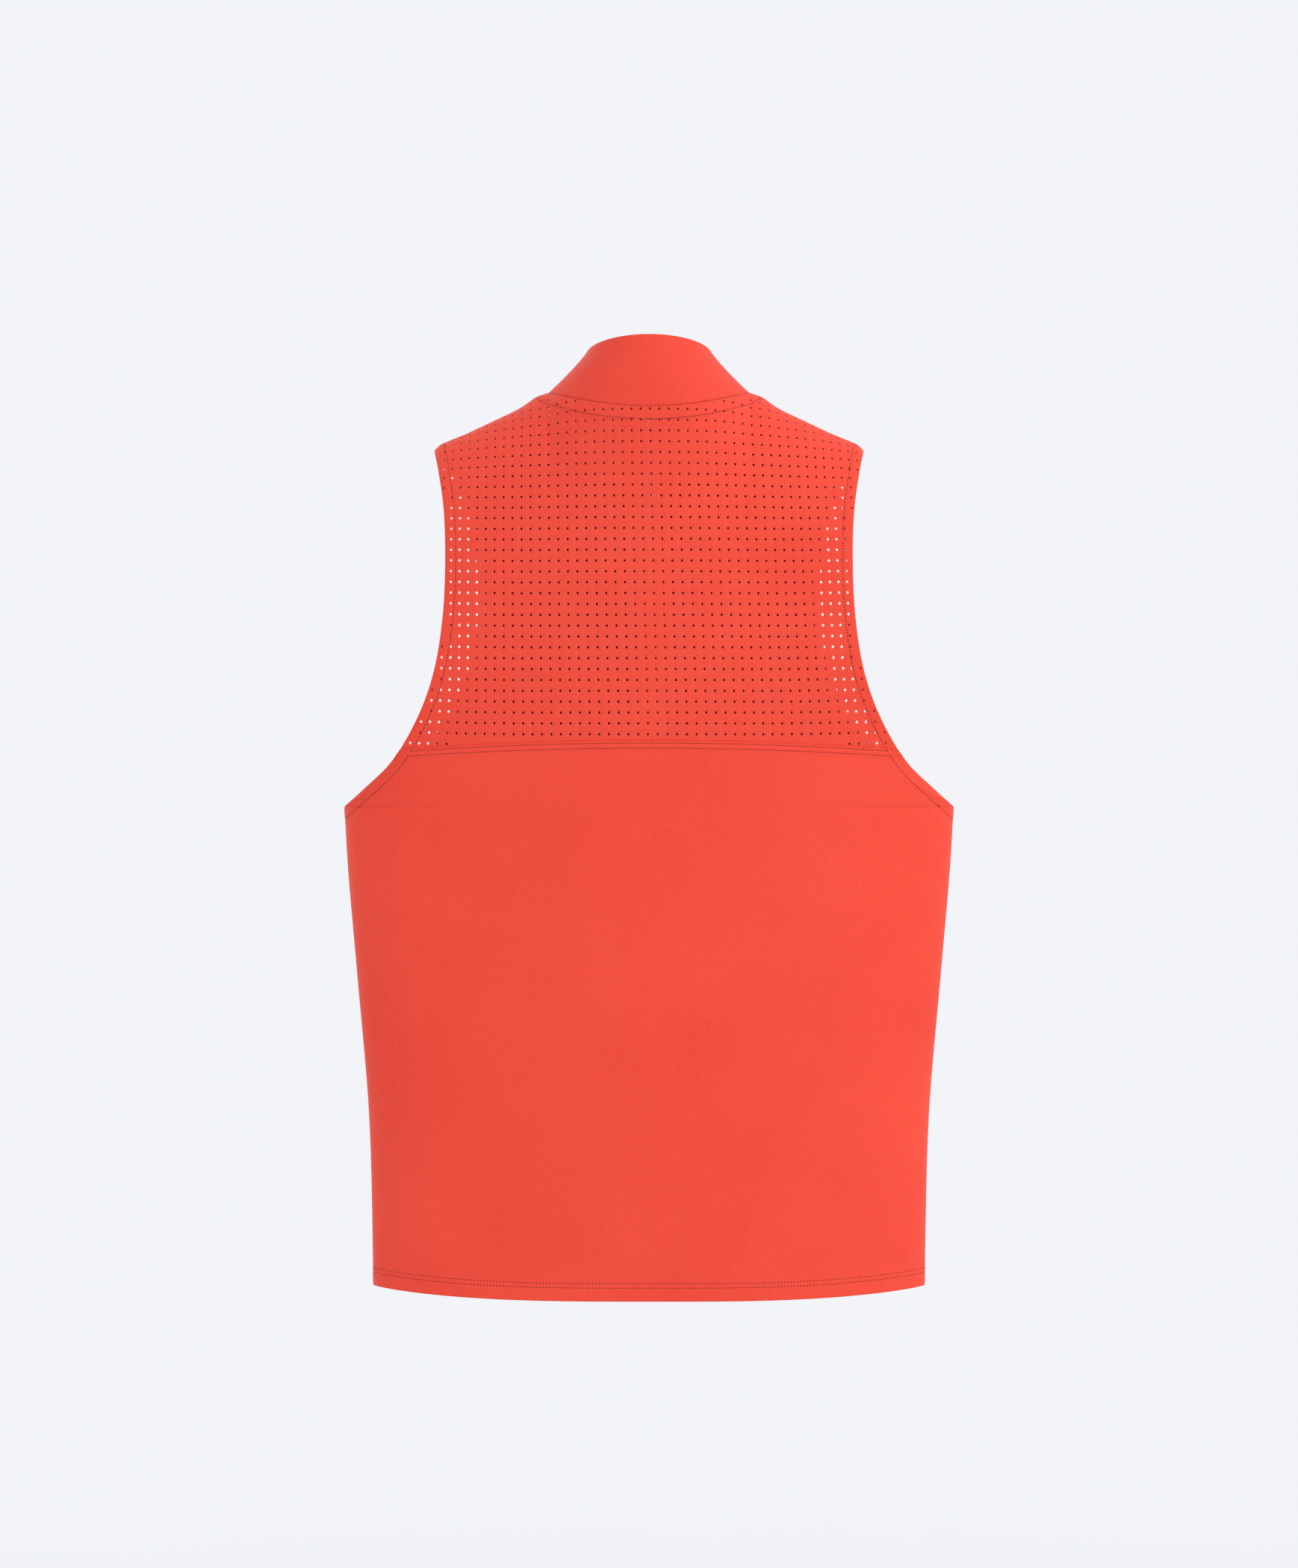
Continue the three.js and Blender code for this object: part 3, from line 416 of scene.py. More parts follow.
def skin(points, normals, faces, outer, inner, roll=0.0):
    """A closed layer between two depths under a surface: points, faces and the mid-surface area.
    roll brings the outer and inner faces together at the open edges."""
    faces = np.asarray(faces)
    a, b, c = (points[faces[:, i]] for i in (0, 1, 2))
    facing = (np.cross(b - a, c - a) * normals[faces[:, 0]]).sum(1)
    if facing.sum() < 0:
        faces = faces[:, ::-1]
    count = len(points)
    size = faces.shape[1]
    starts = faces.ravel()
    ends = np.roll(faces, -1, axis=1).ravel()
    forward = starts.astype(np.int64) * count + ends
    backward = ends.astype(np.int64) * count + starts
    rim = ~np.isin(forward, backward)
    from_, to = starts[rim], ends[rim]
    outer = np.broadcast_to(np.asarray(outer, float), count).copy()
    inner = np.broadcast_to(np.asarray(inner, float), count).copy()
    if roll:
        edge = np.unique(np.concatenate([from_, to]))
        outer[edge] += roll
        inner[edge] -= roll
    middle = points - normals * ((outer + inner) / 2)[:, None]
    area = 0.0
    for k in range(1, size - 1):
        cross = np.cross(middle[faces[:, k]] - middle[faces[:, 0]],
                         middle[faces[:, k + 1]] - middle[faces[:, 0]])
        area += np.linalg.norm(cross, axis=1).sum() / 2
    walls = np.stack([to, from_, from_ + count, to + count], -1)
    places = np.concatenate([points - normals * outer[:, None], points - normals * inner[:, None]])
    made = faces.tolist() + (faces[:, ::-1] + count).tolist() + walls.tolist()
    return places, made, area


def cloth(name, parts, material, nodes, back=None):
    """One sheet of cloth from one or more patches: (points, normals, faces, flat coordinates,
    lift, outer depth, inner depth, roll, rim)."""
    places, faces, uv, rims, behind, area = [], [], [], [], [], 0.0
    for points, normals, cells, flat_at, lift, outer, inner, roll, rim in parts:
        lift = np.broadcast_to(np.asarray(lift, float), len(points))
        made, made_faces, patch = skin(points, normals, cells, outer - lift, inner - lift, roll)
        base = sum(len(p) for p in places)
        places.append(made)
        faces += [[i + base for i in face] for face in made_faces]
        # behind marks each patch's inner faces, which take the back material (painted shade for the
        # panels and yoke).
        behind += [len(cells) <= i < 2 * len(cells) for i in range(len(made_faces))]
        uv.append(np.concatenate([flat_at, flat_at]))
        rims.append(np.concatenate([rim, rim]) if rim is not None else np.zeros(len(made)))
        area += patch
    piece = add_mesh(
        name, np.concatenate(places), faces, material, nodes,
        uv=np.concatenate(uv), rim=np.concatenate(rims), back=back, back_faces=behind,
    )


def patch(points, normals, lift=0.0, outer=0.0, inner=FABRIC, roll=0.0):
    """A grid as one part of a cloth."""
    rows, columns = points.shape[:2]
    lift = np.broadcast_to(np.asarray(lift, float), (rows, columns))
    return (
        points.reshape(-1, 3), normals.reshape(-1, 3), grid_faces(rows, columns),
        flat_map(points).reshape(-1, 2), lift.ravel(), outer, inner, roll, None,
    )


def turned(part, turn):
    """A part of a cloth, as it is or mirrored."""
    return (part[0] * turn, part[1] * turn, *part[2:])


def both(rows):
    """Rows of pairs as two arrays."""
    return (np.array([row[i] for row in rows]) for i in (0, 1))


def spans(*stops):
    """Values from stop to stop: (value, step to the next) pairs and a last value."""
    values = [stop[0] if isinstance(stop, tuple) else stop for stop in stops]
    out = []
    for (low, step), high in zip(stops[:-1], values[1:]):
        count = max(1, round((high - low) / step))
        out += [low + (high - low) * i / count for i in range(count)]
    return np.array([*out, values[-1]])


# ---- materials ----
def srgb(r, g, b):
    """A screen colour as a linear one."""
    return tuple(
        (c / 255 / 12.92 if c / 255 <= 0.04045 else ((c / 255 + 0.055) / 1.055) ** 2.4)
        for c in (r, g, b)
    ) + (1.0,)


class Nodes:
    """A short way to build a node tree."""

    def __init__(self, name):
        self.material = bpy.data.materials.new(name)
        self.material.use_nodes = True
        self.tree = self.material.node_tree
        self.shader = self.tree.nodes["Principled BSDF"]

    def link(self, value, socket):
        if isinstance(value, bpy.types.NodeSocket):
            self.tree.links.new(value, socket)
        else:
            socket.default_value = value

    def add(self, kind, output, inputs=None, **settings):
        """A node with its inputs set or linked, as one of its outputs."""
        node = self.tree.nodes.new(kind)
        for key, value in settings.items():
            setattr(node, key, value)
        for key, value in (inputs or {}).items():
            self.link(value, node.inputs[key])
        return node.outputs[output]

    def place(self):
        return self.add("ShaderNodeTexCoord", "Object")

    def across_along(self):
        """Flat coordinates of a cloth, one for each of its two directions."""
        flat = self.add("ShaderNodeUVMap", "UV", uv_map="flat")
        across = self.add("ShaderNodeSeparateXYZ", 0, {0: flat})
        return across, across.node.outputs[1]

    def math(self, operation, a, b=0.0):
        return self.add("ShaderNodeMath", 0, {0: a, 1: b}, operation=operation)

    def mix(self, factor, a, b):
        return self.add("ShaderNodeMix", 2, {"Factor": factor, 6: a, 7: b}, data_type="RGBA")

    def noise(self, vector, scale, detail=3.0, rough=0.55):
        inputs = {"Vector": vector, "Scale": scale, "Detail": detail, "Roughness": rough}
        return self.add("ShaderNodeTexNoise", "Fac", inputs)

    def ramp(self, value, low, high):
        inputs = {"Value": value, "From Min": low, "From Max": high}
        return self.add("ShaderNodeMapRange", "Result", inputs)

    def bump(self, height, distance):
        inputs = {"Height": height, "Distance": distance, "Strength": 1.0}
        self.set(Normal=self.add("ShaderNodeBump", "Normal", inputs))

    def set(self, **sockets):
        """Inputs of the shader, with _ for a space in a name."""
        for name, value in sockets.items():
            self.link(value, self.shader.inputs[name.replace("_", " ")])


def knit(name, light, dark, wale, course, ribs=0.0, rough=0.66, sheen=0.1, depth=0.00022):
    """Knitted cloth: fine wales and courses over slow and quick unevenness of the dye, with a
    painted highlight at the edges of holes.
    """
    n = Nodes(name)
    across, along = n.across_along()
    place = n.place()
    turn = 2 * math.pi
    wales = n.math("SINE", n.math("MULTIPLY", across, turn / wale))
    courses = n.math("SINE", n.math("MULTIPLY", along, turn / course))
    loops = n.math("MULTIPLY", n.math("ABSOLUTE", wales), n.math("ADD", courses, 2.0))
    fuzz = n.noise(place, 2600, 2)
    slow = n.noise(place, 9, 2)
    quick = n.noise(place, 240, 3)
    tone = n.math("ADD", n.math("MULTIPLY", slow, 0.45), n.math("MULTIPLY", quick, 0.35))
    tone = n.math("ADD", tone, n.math("MULTIPLY", loops, 0.05))
    colour = n.mix(n.ramp(tone, 0.28, 0.72), dark, light)
    # Painted highlight: where the rim attribute marks a hole's edge, the colour turns paler, as if
    # the edge caught the light.
    rim = n.add("ShaderNodeAttribute", "Fac", attribute_name="rim")
    rim_highlight = tuple(min(1, c * 1.25 + 0.03) for c in light[:3]) + (1.0,)
    n.set(Base_Color=n.mix(n.math("MULTIPLY", rim, 0.55), colour, rim_highlight))
    height = n.math("ADD", n.math("MULTIPLY", loops, 0.3), n.math("MULTIPLY", fuzz, 0.5))
    if ribs:
        rib = n.math("SINE", n.math("MULTIPLY", across, turn / ribs))
        height = n.math("ADD", height, n.math("MULTIPLY", rib, 0.15))
    n.bump(height, depth)
    n.set(Roughness=n.math("ADD", n.math("MULTIPLY", quick, 0.14), rough - 0.07))
    n.set(Sheen_Weight=sheen, Sheen_Roughness=0.45, Specular_IOR_Level=0.28)
    n.set(Sheen_Tint=(1.0, 0.62, 0.52, 1.0))
    return n.material


def woven(name, light, dark, pitch, rough=0.7):
    """A narrow woven tape or label: a fine herringbone."""
    n = Nodes(name)
    across, along = n.across_along()
    place = n.place()
    turn = 2 * math.pi / pitch
    zigzag = n.math("PINGPONG", across, 2.2 * pitch)
    lines = n.math("SINE", n.math("MULTIPLY", n.math("ADD", along, zigzag), turn))
    ground = n.noise(place, 300, 3)
    tone = n.math("ADD", n.math("MULTIPLY", lines, 0.25), ground)
    n.set(Base_Color=n.mix(n.ramp(tone, 0.2, 0.85), dark, light))
    n.bump(n.math("ADD", lines, n.noise(place, 3000, 2)), 0.00012)
    n.set(Roughness=rough, Sheen_Weight=0.15, Specular_IOR_Level=0.35)
    return n.material


def moulded(name, light, dark, rough, metal=0.0, scratch=900, coat=0.0):
    """Moulded plastic or cast metal: small dents, a worn sheen, and fine uneven tone."""
    n = Nodes(name)
    place = n.place()
    grain = n.noise(place, scratch, 4, 0.65)
    slow = n.noise(place, 120, 2)
    tone = n.math("ADD", n.math("MULTIPLY", grain, 0.4), n.math("MULTIPLY", slow, 0.6))
    n.set(Base_Color=n.mix(n.ramp(tone, 0.35, 0.65), dark, light))
    n.set(Roughness=n.math("ADD", n.math("MULTIPLY", grain, 0.2), rough - 0.1))
    n.bump(grain, 0.00008)
    n.set(Metallic=metal, Coat_Weight=coat)
    return n.material


KNIT = knit("knit_outer", srgb(249, 79, 57), srgb(237, 65, 45), 0.0021, 0.0013)
YOKE_KNIT = knit("knit_perforated", srgb(249, 79, 57), srgb(238, 66, 46), 0.0016, 0.0011)
COLLAR_KNIT = knit("knit_collar", srgb(246, 78, 56), srgb(234, 64, 44), 0.0021, 0.0013, ribs=0.0032)
# Painted shade: a darker copy of the knit for the inner faces of the panels and yoke, so the inside
# seen through the holes and openings looks unlit.
SHADE = knit(
    "knit_inside_painted_shade", srgb(140, 30, 20), srgb(116, 20, 13), 0.0014, 0.0011, rough=0.8, sheen=0.0,
)
INNER = knit("knit_inner", srgb(226, 66, 48), srgb(208, 54, 38), 0.0014, 0.0011, rough=0.72)
TAPE_CLOTH = woven("woven_tape", srgb(222, 62, 44), srgb(196, 46, 32), 0.0008)
LABEL_CLOTH = woven("woven_label", srgb(243, 241, 235), srgb(226, 222, 214), 0.0006, 0.5)
THREAD = woven("sewing_thread", srgb(150, 14, 7), srgb(112, 6, 3), 0.0004, 0.7)
TEETH_PLASTIC = moulded("zip_plastic", srgb(214, 58, 40), srgb(190, 44, 30), 0.36)
SLIDER_METAL = moulded("slider_metal", srgb(150, 152, 156), srgb(112, 114, 118), 0.34, metal=1.0)
GRIP_RUBBER = moulded("pull_rubber", srgb(218, 66, 48), srgb(196, 52, 36), 0.58)


# ---- stitches: short threads that lie in the grooves ----
def stitch_form(sides=6, rings=4):
    """A thread seen from outside: a long rounded bead, unit half lengths."""
    points, faces = [(-1.0, 0.0, 0.0)], []
    for i in range(1, rings):
        along = -math.cos(math.pi * i / rings)
        across = math.sin(math.pi * i / rings) ** 0.5
        for k in range(sides):
            a = 2 * math.pi * k / sides
            points.append((along, across * math.cos(a), across * math.sin(a)))
    points.append((1.0, 0.0, 0.0))
    last = len(points) - 1
    for k in range(sides):
        n = (k + 1) % sides
        faces.append((0, 1 + n, 1 + k, 1 + k))
        for i in range(rings - 2):
            a, b = 1 + i * sides, 1 + (i + 1) * sides
            faces.append((a + k, a + n, b + n, b + k))
        faces.append((last, last - sides + k, last - sides + n, last - sides + n))
    return np.array(points), [tuple(dict.fromkeys(face)) for face in faces]


STITCH_POINTS, STITCH_FACES = stitch_form()
threads = {"points": [], "faces": [], "uv": []}
tick = np.random.default_rng(7)


def stitch_row(points, normals, pitch=2.5, length=1.5, width=0.95, height=0.26, lift=0.0):
    """Sews along a line on the cloth, given by its points and outward normals."""
    along = np.concatenate([[0], np.linalg.norm(np.diff(points, axis=0), axis=1).cumsum()])
    count = int(along[-1] / pitch)
    if count < 1:
        return
    at = (np.arange(count) + 0.5) * along[-1] / count
    at = at + tick.normal(0, 0.05, count)
    place = np.stack([np.interp(at, along, points[:, i]) for i in range(3)], -1)
    out = unit(np.stack([np.interp(at, along, normals[:, i]) for i in range(3)], -1))
    ahead = np.stack([
        np.interp(at + 0.6, along, points[:, i]) - np.interp(at - 0.6, along, points[:, i])
        for i in range(3)
    ], -1)
    ahead = unit(ahead - out * (ahead * out).sum(-1, keepdims=True))
    beside = np.cross(out, ahead)
    ahead = unit(ahead + beside * tick.normal(0, 0.07, (count, 1)))
    beside = np.cross(out, ahead)
    sizes = np.array([length, width, height]) / 2
    form = STITCH_POINTS * sizes
    made = (
        (place + out * lift)[:, None, :] + form[None, :, :1] * ahead[:, None, :]
        + form[None, :, 1:2] * beside[:, None, :] + form[None, :, 2:] * out[:, None, :]
    )
    base = sum(len(p) for p in threads["points"])
    threads["points"].append(made.reshape(-1, 3))
    threads["uv"].append(np.tile(form[:, :2], (count, 1)) + np.repeat(at, len(form))[:, None])
    step = len(form)
    for k in range(count):
        threads["faces"] += [tuple(i + base + k * step for i in face) for face in STITCH_FACES]


def both_sides(points, normals, **settings):
    """A stitch row and its mirror image."""
    stitch_row(points, normals, **settings)
    stitch_row(points * MIRROR, normals * MIRROR, **settings)


# ---- back panel ----
half_angles = spans((0, 0.0175), (1.19, 0.009), (1.33, 0.02), (1.47, 0.012), QUARTER)
angles = np.concatenate([-half_angles[:0:-1], half_angles])
# Rows from the hem up and from the yoke seam down, close together at the stitch rows.
hem_steps = np.array([
    0, 0.45, 1.0, 2.0, 4.0, 7.0, 9.4, 10.3, 11.0, 11.7, 12.8, 13.9, 14.6, 15.3, 16.2, 18, 21, 25,
])
low_d = np.concatenate([hem_steps, spans((29, 4.2), (391, 0.9), UNDERARM_Z - HEM_Z)[:-1]])
low_share = low_d / (UNDERARM_Z - HEM_Z)
seam_steps = np.array([0, 0.4, 0.9, 1.5, 2.0, 2.5, 3.2, 4.2, 5.2, 5.7, 6.2, 6.7, 7.3, 8.2, 10.0])


def low_height(u, share):
    """Height between the hem (0) and the underarm (1)."""
    hem = hem_line(u)
    return hem + share * (UNDERARM_Z - hem)


def from_line(points, line):
    """Distance of each point from a polyline."""
    start, step = line[:-1], np.diff(line, axis=0)
    size = np.maximum((step**2).sum(1), 1e-12)
    best = np.full(len(points), 1e9)
    for a, b, s in zip(start, step, size):
        t = np.clip(((points - a) @ b) / s, 0, 1)
        best = np.minimum(best, np.linalg.norm(points - a - t[:, None] * b, axis=1))
    return best


def arm_outline(front):
    """The armhole's edge seen from behind (x, z), run on past the side seam."""
    z = UNDERARM_Z + (-SHOULDER_DROP - UNDERARM_Z) * np.linspace(0, 1, 90) ** 1.6
    line = np.stack([half_width(z + 1e-6, front), z], -1)
    return np.concatenate([line[:1] + 40 * unit(line[:1] - line[2:3]), line])


ARM_OUTLINES = {front: arm_outline(front) for front in (False, True)}


def arm_distance(x, z, front):
    x, z = np.broadcast_arrays(x, z)
    return from_line(np.stack([x.ravel(), z.ravel()], -1), ARM_OUTLINES[front]).reshape(x.shape)


def arm_row(front, low, top, count=320):
    """The stitch row beside the armhole: column angle and height of its points."""
    out = []
    for z in np.linspace(low, top, count):
        half = float(half_width(np.array(z), front))
        xs = np.linspace(half - 32, half, 161)
        apart = arm_distance(xs, np.full_like(xs, z), front)
        if apart[-1] < ARM_ROW:
            out.append((math.asin(np.interp(-ARM_ROW, -apart, xs) / half), z))
    return np.array(out).T


def edge_relief(u, z, front):
    """Relief that the body panels share: bottom hem, armhole hem and the slow unevenness."""
    x = np.abs(u) * half_width(z, front)
    lift = wave(x * np.sign(u), z, front)
    lift = lift + band(z - hem_line(u), HEM_BAND, 0.24, HEM_ROWS, roll=0.25)
    return lift + band(arm_distance(x, z, front), ARM_BAND, 0.26, (ARM_ROW,), roll=0.25, groove=0.5)


def back_rows():
    u = np.sin(angles)
    rows = [low_height(u, share) for share in low_share]
    top = yoke_line(u) - SEAM_GAP / 2
    rise = spans((0, 0.025), (0.3, 0.05), (0.82, 0.06), 1.0)[:-1]
    start = np.full_like(u, UNDERARM_Z)
    rows += [start + share * (top - 12 - start) for share in rise]
    rows += [top - d for d in seam_steps[::-1]]
    return np.array(rows)


zs = back_rows()
panel_p, panel_n = corner(np.broadcast_to(angles, zs.shape), zs, False)
us = np.broadcast_to(np.sin(angles), zs.shape)


def under_seam(u, z):
    """The doubled band below the yoke's seam."""
    return band(
        yoke_line(u) - SEAM_GAP / 2 - z, SEAM_BAND, 0.5, SEAM_ROWS, roll=0.45, groove=0.5,
    )


panel_lift = edge_relief(us, zs, False) + under_seam(us, zs)
cloth(
    "back_panel_knit", [patch(panel_p, panel_n, panel_lift, roll=0.22)], KNIT, ["back_panel"],
    back=SHADE,
)


def sew(angle, z, front, lift, stitch=stitch_row, **settings):
    """Stitches a line on the body, given by column angle and height."""
    point, normal = corner(angle, z, front)
    rise = wave(point[:, 0], z, front) + lift
    stitch(point + normal * rise[:, None], normal, **settings)


fine = np.linspace(-QUARTER + 0.004, QUARTER - 0.004, 900)
for down in SEAM_ROWS:
    sew(fine, yoke_line(np.sin(fine)) - down, False, 0.12, pitch=2.45, length=1.35)
for up in HEM_ROWS:
    sew(fine, hem_line(np.sin(fine)) + up, False, -0.05, pitch=2.7)

# ---- front panels ----
front_v = spans(
    (0, 0.004), (0.05, 0.01), (0.1, 0.018), (1.17, 0.009), (1.31, 0.02), (1.45, 0.012), 1.549,
)
front_v = front_v / front_v[-1]
below_neck = 1 - (NECK_FRONT_DROP + 0.2) / -UNDERARM_Z
upper_share = np.concatenate([
    spans((0, 0.003), (0.03, 0.012), (0.74, 0.008), below_neck)[1:],
    1 - np.array([74.95, 74.6, 74.1, 73.4, 72.4, 71.0, 69.0, 66.5]) / -UNDERARM_Z,
    spans((1 - 63 / -UNDERARM_Z, 0.007), (SEAM_SHARE - 0.03, 0.0035), FORWARD_EDGE - 0.0012),
    [FORWARD_EDGE],
])


def front_row(share, low):
    """Column angles and heights of one row, from the zip or neck to the side."""
    z0 = low_height(0.0, share) if low else UNDERARM_Z * (1 - share)
    neck = not low and z0 > -NECK_FRONT_DROP
    inner = NECK_HALF * np.sin(neck_phi_at(z0)) if neck else ZIP_EDGE
    inner = max(float(inner), ZIP_EDGE)
    first = math.asin(inner / float(half_width(np.array(z0), True)))
    angle = first + front_v * (QUARTER - first)
    u = np.sin(angle)
    z = low_height(u, share) if low else row_height(u, share, True)
    return angle, z


rows = [front_row(share, True) for share in low_share] + [front_row(s, False) for s in upper_share]
front_a, front_z = both(rows)
front_p, front_n = corner(front_a, front_z, True)
front_u = np.sin(front_a)
neck_line = neck_point(np.linspace(0.0, QUARTER, 300))


def front_relief(u, z, points):
    lift = edge_relief(u, z, True)
    beside = np.where(z < -NECK_FRONT_DROP - 0.1, points[..., 0] - ZIP_EDGE, FAR)
    lift = lift + band(beside, ZIP_BAND, 0.2, (ZIP_ROW,), roll=0.25)
    share = FORWARD_EDGE - (z - UNDERARM_Z) / (front_top(u) - UNDERARM_Z)
    seam = band(share * FORWARD_RUN, FORWARD_BAND, 0.35, SEAM_ROWS, roll=0.3)
    lift = lift + np.where(z > UNDERARM_Z + 60, seam, 0)
    near = from_line(points.reshape(-1, 3), neck_line).reshape(z.shape)
    return lift + band(near, 6.6, 0.25, (5.4,), roll=0.25)


front_lift = front_relief(front_u, front_z, front_p)
for side, turn in SIDES:
    cloth(
        f"front_panel_{side}_knit", [patch(front_p * turn, front_n * turn, front_lift, roll=0.22)],
        KNIT, [f"front_panel_{side}"],
        back=SHADE,
    )

zip_z = np.linspace(HEM_Z + 2, -76.5, 700)
zip_angle = np.arcsin((ZIP_EDGE + ZIP_ROW) / half_width(zip_z, True))
sew(zip_angle, zip_z, True, -0.08, both_sides, length=1.6)
half_fine = np.linspace(0.03, QUARTER - 0.004, 500)
for up in HEM_ROWS:
    sew(half_fine, hem_line(np.sin(half_fine)) + up, True, -0.05, both_sides, pitch=2.7)
seam_fine = np.linspace(0.37, QUARTER - 0.004, 300)
for down in SEAM_ROWS:
    share = FORWARD_EDGE - down / FORWARD_RUN
    sew(seam_fine, row_height(np.sin(seam_fine), share, True), True, 0.08, both_sides)
for front, top in ((False, YOKE_Z - YOKE_DIP), (True, row_height(1.0, SEAM_SHARE, True))):
    point, normal = corner(*arm_row(front, UNDERARM_Z - 14, float(top) - 0.5), front)
    both_sides(point - normal * 0.12, normal, pitch=2.3, length=1.4)

# ---- perforated yoke, laid out flat: x across, and the length up the back and over the ridge ----
FLAT_FROM, FRONT_TO, FLAT_STEP, COLUMN_STEP = -300.0, -100.0, 0.5, 0.75
HOLE_X, HOLE_T, HOLE_HALF_X, HOLE_HALF_T, HOLE_SIDES = 7.93, 8.84, 0.95, 1.15, 10
HOLE_FIRST = 19.2
HOLE_ROUND = 350.0


def column_profile(x):
    """Up the back and down the front at one x: length, y and z of each part."""
    if x < NECK_HALF:
        top = float(neck_point(np.array(math.pi - math.asin(x / NECK_HALF)))[2])
    else:
        top = float(shoulder_line(min(x, SHOULDER_HALF)))
    z = FLAT_FROM + (top - FLAT_FROM) * (1 - (1 - np.linspace(0, 1, 260)) ** 3)
    y = back_depth(np.minimum(1, x / half_width(z, False)), z)
    back_t = np.concatenate([[0], np.hypot(np.diff(y), np.diff(z)).cumsum()])
    front_from = 0.0 if x < NECK_HALF else top
    fz = front_from + (FRONT_TO - front_from) * np.linspace(0, 1, 200) ** 3
    fy = -front_depth(np.minimum(1, x / half_width(fz, True)), fz)
    front_t = np.concatenate([[0], np.hypot(np.diff(fy), np.diff(fz)).cumsum()])
    return back_t, y, z, front_t, fy, fz


NECK_RIDGE = column_profile(NECK_HALF)[0][-1]


def column_table():
    """Depth and height of the yoke on a flat grid of columns and lengths."""
    xs = np.arange(0, 207, COLUMN_STEP)
    ts = np.arange(0, 470, FLAT_STEP)
    depth, level = np.zeros((len(xs), len(ts))), np.zeros((len(xs), len(ts)))
    for i, x in enumerate(xs):
        back_t, y, z, front_t, fy, fz = column_profile(x)
        start = back_t[-1] if x >= NECK_HALF else NECK_RIDGE
        over = ts > back_t[-1]
        past = np.minimum(ts - back_t[-1], 5.0)
        back_k = np.searchsorted(back_t, back_t[-1] - 1.0)
        run = back_t[-1] - back_t[back_k]
        for table, back, front in ((depth, y, fy), (level, z, fz)):
            row = np.interp(ts, back_t, back)
            slope = (back[-1] - back[back_k]) / run
            if x < NECK_HALF:
                row = np.where(over, back[-1] + slope * past, row)
            table[i] = np.where(ts >= start, np.interp(ts - start, front_t, front), row)
    return depth, level


DEPTHS, LEVELS = column_table()


def yoke_at(flat):
    """Points of the worn yoke at flat places (x, t)."""
    gx = np.clip(np.abs(flat[:, 0]) / COLUMN_STEP, 0, DEPTHS.shape[0] - 1.001)
    gt = np.clip(flat[:, 1] / FLAT_STEP, 0, DEPTHS.shape[1] - 1.001)
    i, j = gx.astype(int), gt.astype(int)
    a, b = gx - i, gt - j
    y, z = (
        (1 - a) * ((1 - b) * t[i, j] + b * t[i, j + 1])
        + a * ((1 - b) * t[i + 1, j] + b * t[i + 1, j + 1])
        for t in (DEPTHS, LEVELS)
    )
    return np.stack([flat[:, 0], y, z], -1)


def yoke_frame(flat, step=0.8):
    """Points and outward directions of the worn yoke at flat places."""
    point = yoke_at(flat)
    dx, dt = np.array([step, 0.0]), np.array([0.0, step])
    across = yoke_at(flat + dx) - yoke_at(flat - dx)
    up = yoke_at(flat + dt) - yoke_at(flat - dt)
    return point, unit(np.cross(up, across))


def flat_edge(xs, zs, front):
    """Flat places of an edge given by x and z on the worn yoke."""
    out = []
    for x, z in zip(xs, zs):
        back_t, _, bz, front_t, _, fz = column_profile(x)
        if front:
            start = back_t[-1] if x >= NECK_HALF else NECK_RIDGE
            out.append((x, start + np.interp(-z, -fz, front_t)))
        else:
            out.append((x, np.interp(z, bz, back_t)))
    return np.array(out)


def edge_of(point_xyz, front):
    return flat_edge(point_xyz[:, 0], point_xyz[:, 2], front), point_xyz


def yoke_edges():
    """The right half's edges, each as flat places and exact points, in order round the piece."""
    u = np.sin(np.linspace(0, QUARTER, 110))
    z = yoke_line(u) + SEAM_GAP / 2
    low = edge_of(body_point(u, z, False), False)
    z = np.concatenate([
        np.linspace(yoke_line(1.0) + SEAM_GAP / 2, -60, 100), np.linspace(-59, -SHOULDER_DROP, 14),
    ])
    arm_back = edge_of(body_point(np.ones_like(z), z, False), False)
    lowest = float(row_height(1.0, SEAM_SHARE + HALF_SEAM, True))
    z = np.concatenate([np.linspace(-SHOULDER_DROP, -60, 14), np.linspace(-62, lowest, 16)])
    arm_front = edge_of(body_point(np.ones_like(z), z, True), True)
    level = UNDERARM_Z * (1 - SEAM_SHARE - HALF_SEAM)
    neck_half = float(NECK_HALF * np.sin(neck_phi_at(np.array(level))))
    first = math.asin(neck_half / float(half_width(np.array(level), True)))
    u = np.sin(np.linspace(QUARTER, first, 60))
    forward = edge_of(body_point(u, row_height(u, SEAM_SHARE + HALF_SEAM, True), True), True)
    phi = np.linspace(float(neck_phi_at(np.array(level))), QUARTER, 36)
    neck_front = edge_of(neck_point(phi), True)
    phi = np.linspace(QUARTER, math.pi, 90)
    neck_back = edge_of(neck_point(phi), False)
    return {
        "low": low, "arm_back": arm_back, "arm_front": arm_front, "forward": forward,
        "neck_front": neck_front, "neck_back": neck_back,
    }


edges = yoke_edges()


def chain(*names):
    """Several edges as one line, without the points that repeat."""
    flat = np.concatenate([edges[n][0] for n in names])
    place = np.concatenate([edges[n][1] for n in names])
    keep = np.concatenate([[True], np.linalg.norm(np.diff(flat, axis=0), axis=1) > 0.25])
    return flat[keep], place[keep]


def two_halves(flat, place):
    """An outline that starts and ends on the centre line, closed by its mirror image."""
    turn = np.array([-1.0, 1.0])
    return (np.concatenate([flat, (flat * turn)[-2:0:-1]]),
            np.concatenate([place, (place * MIRROR)[-2:0:-1]]))


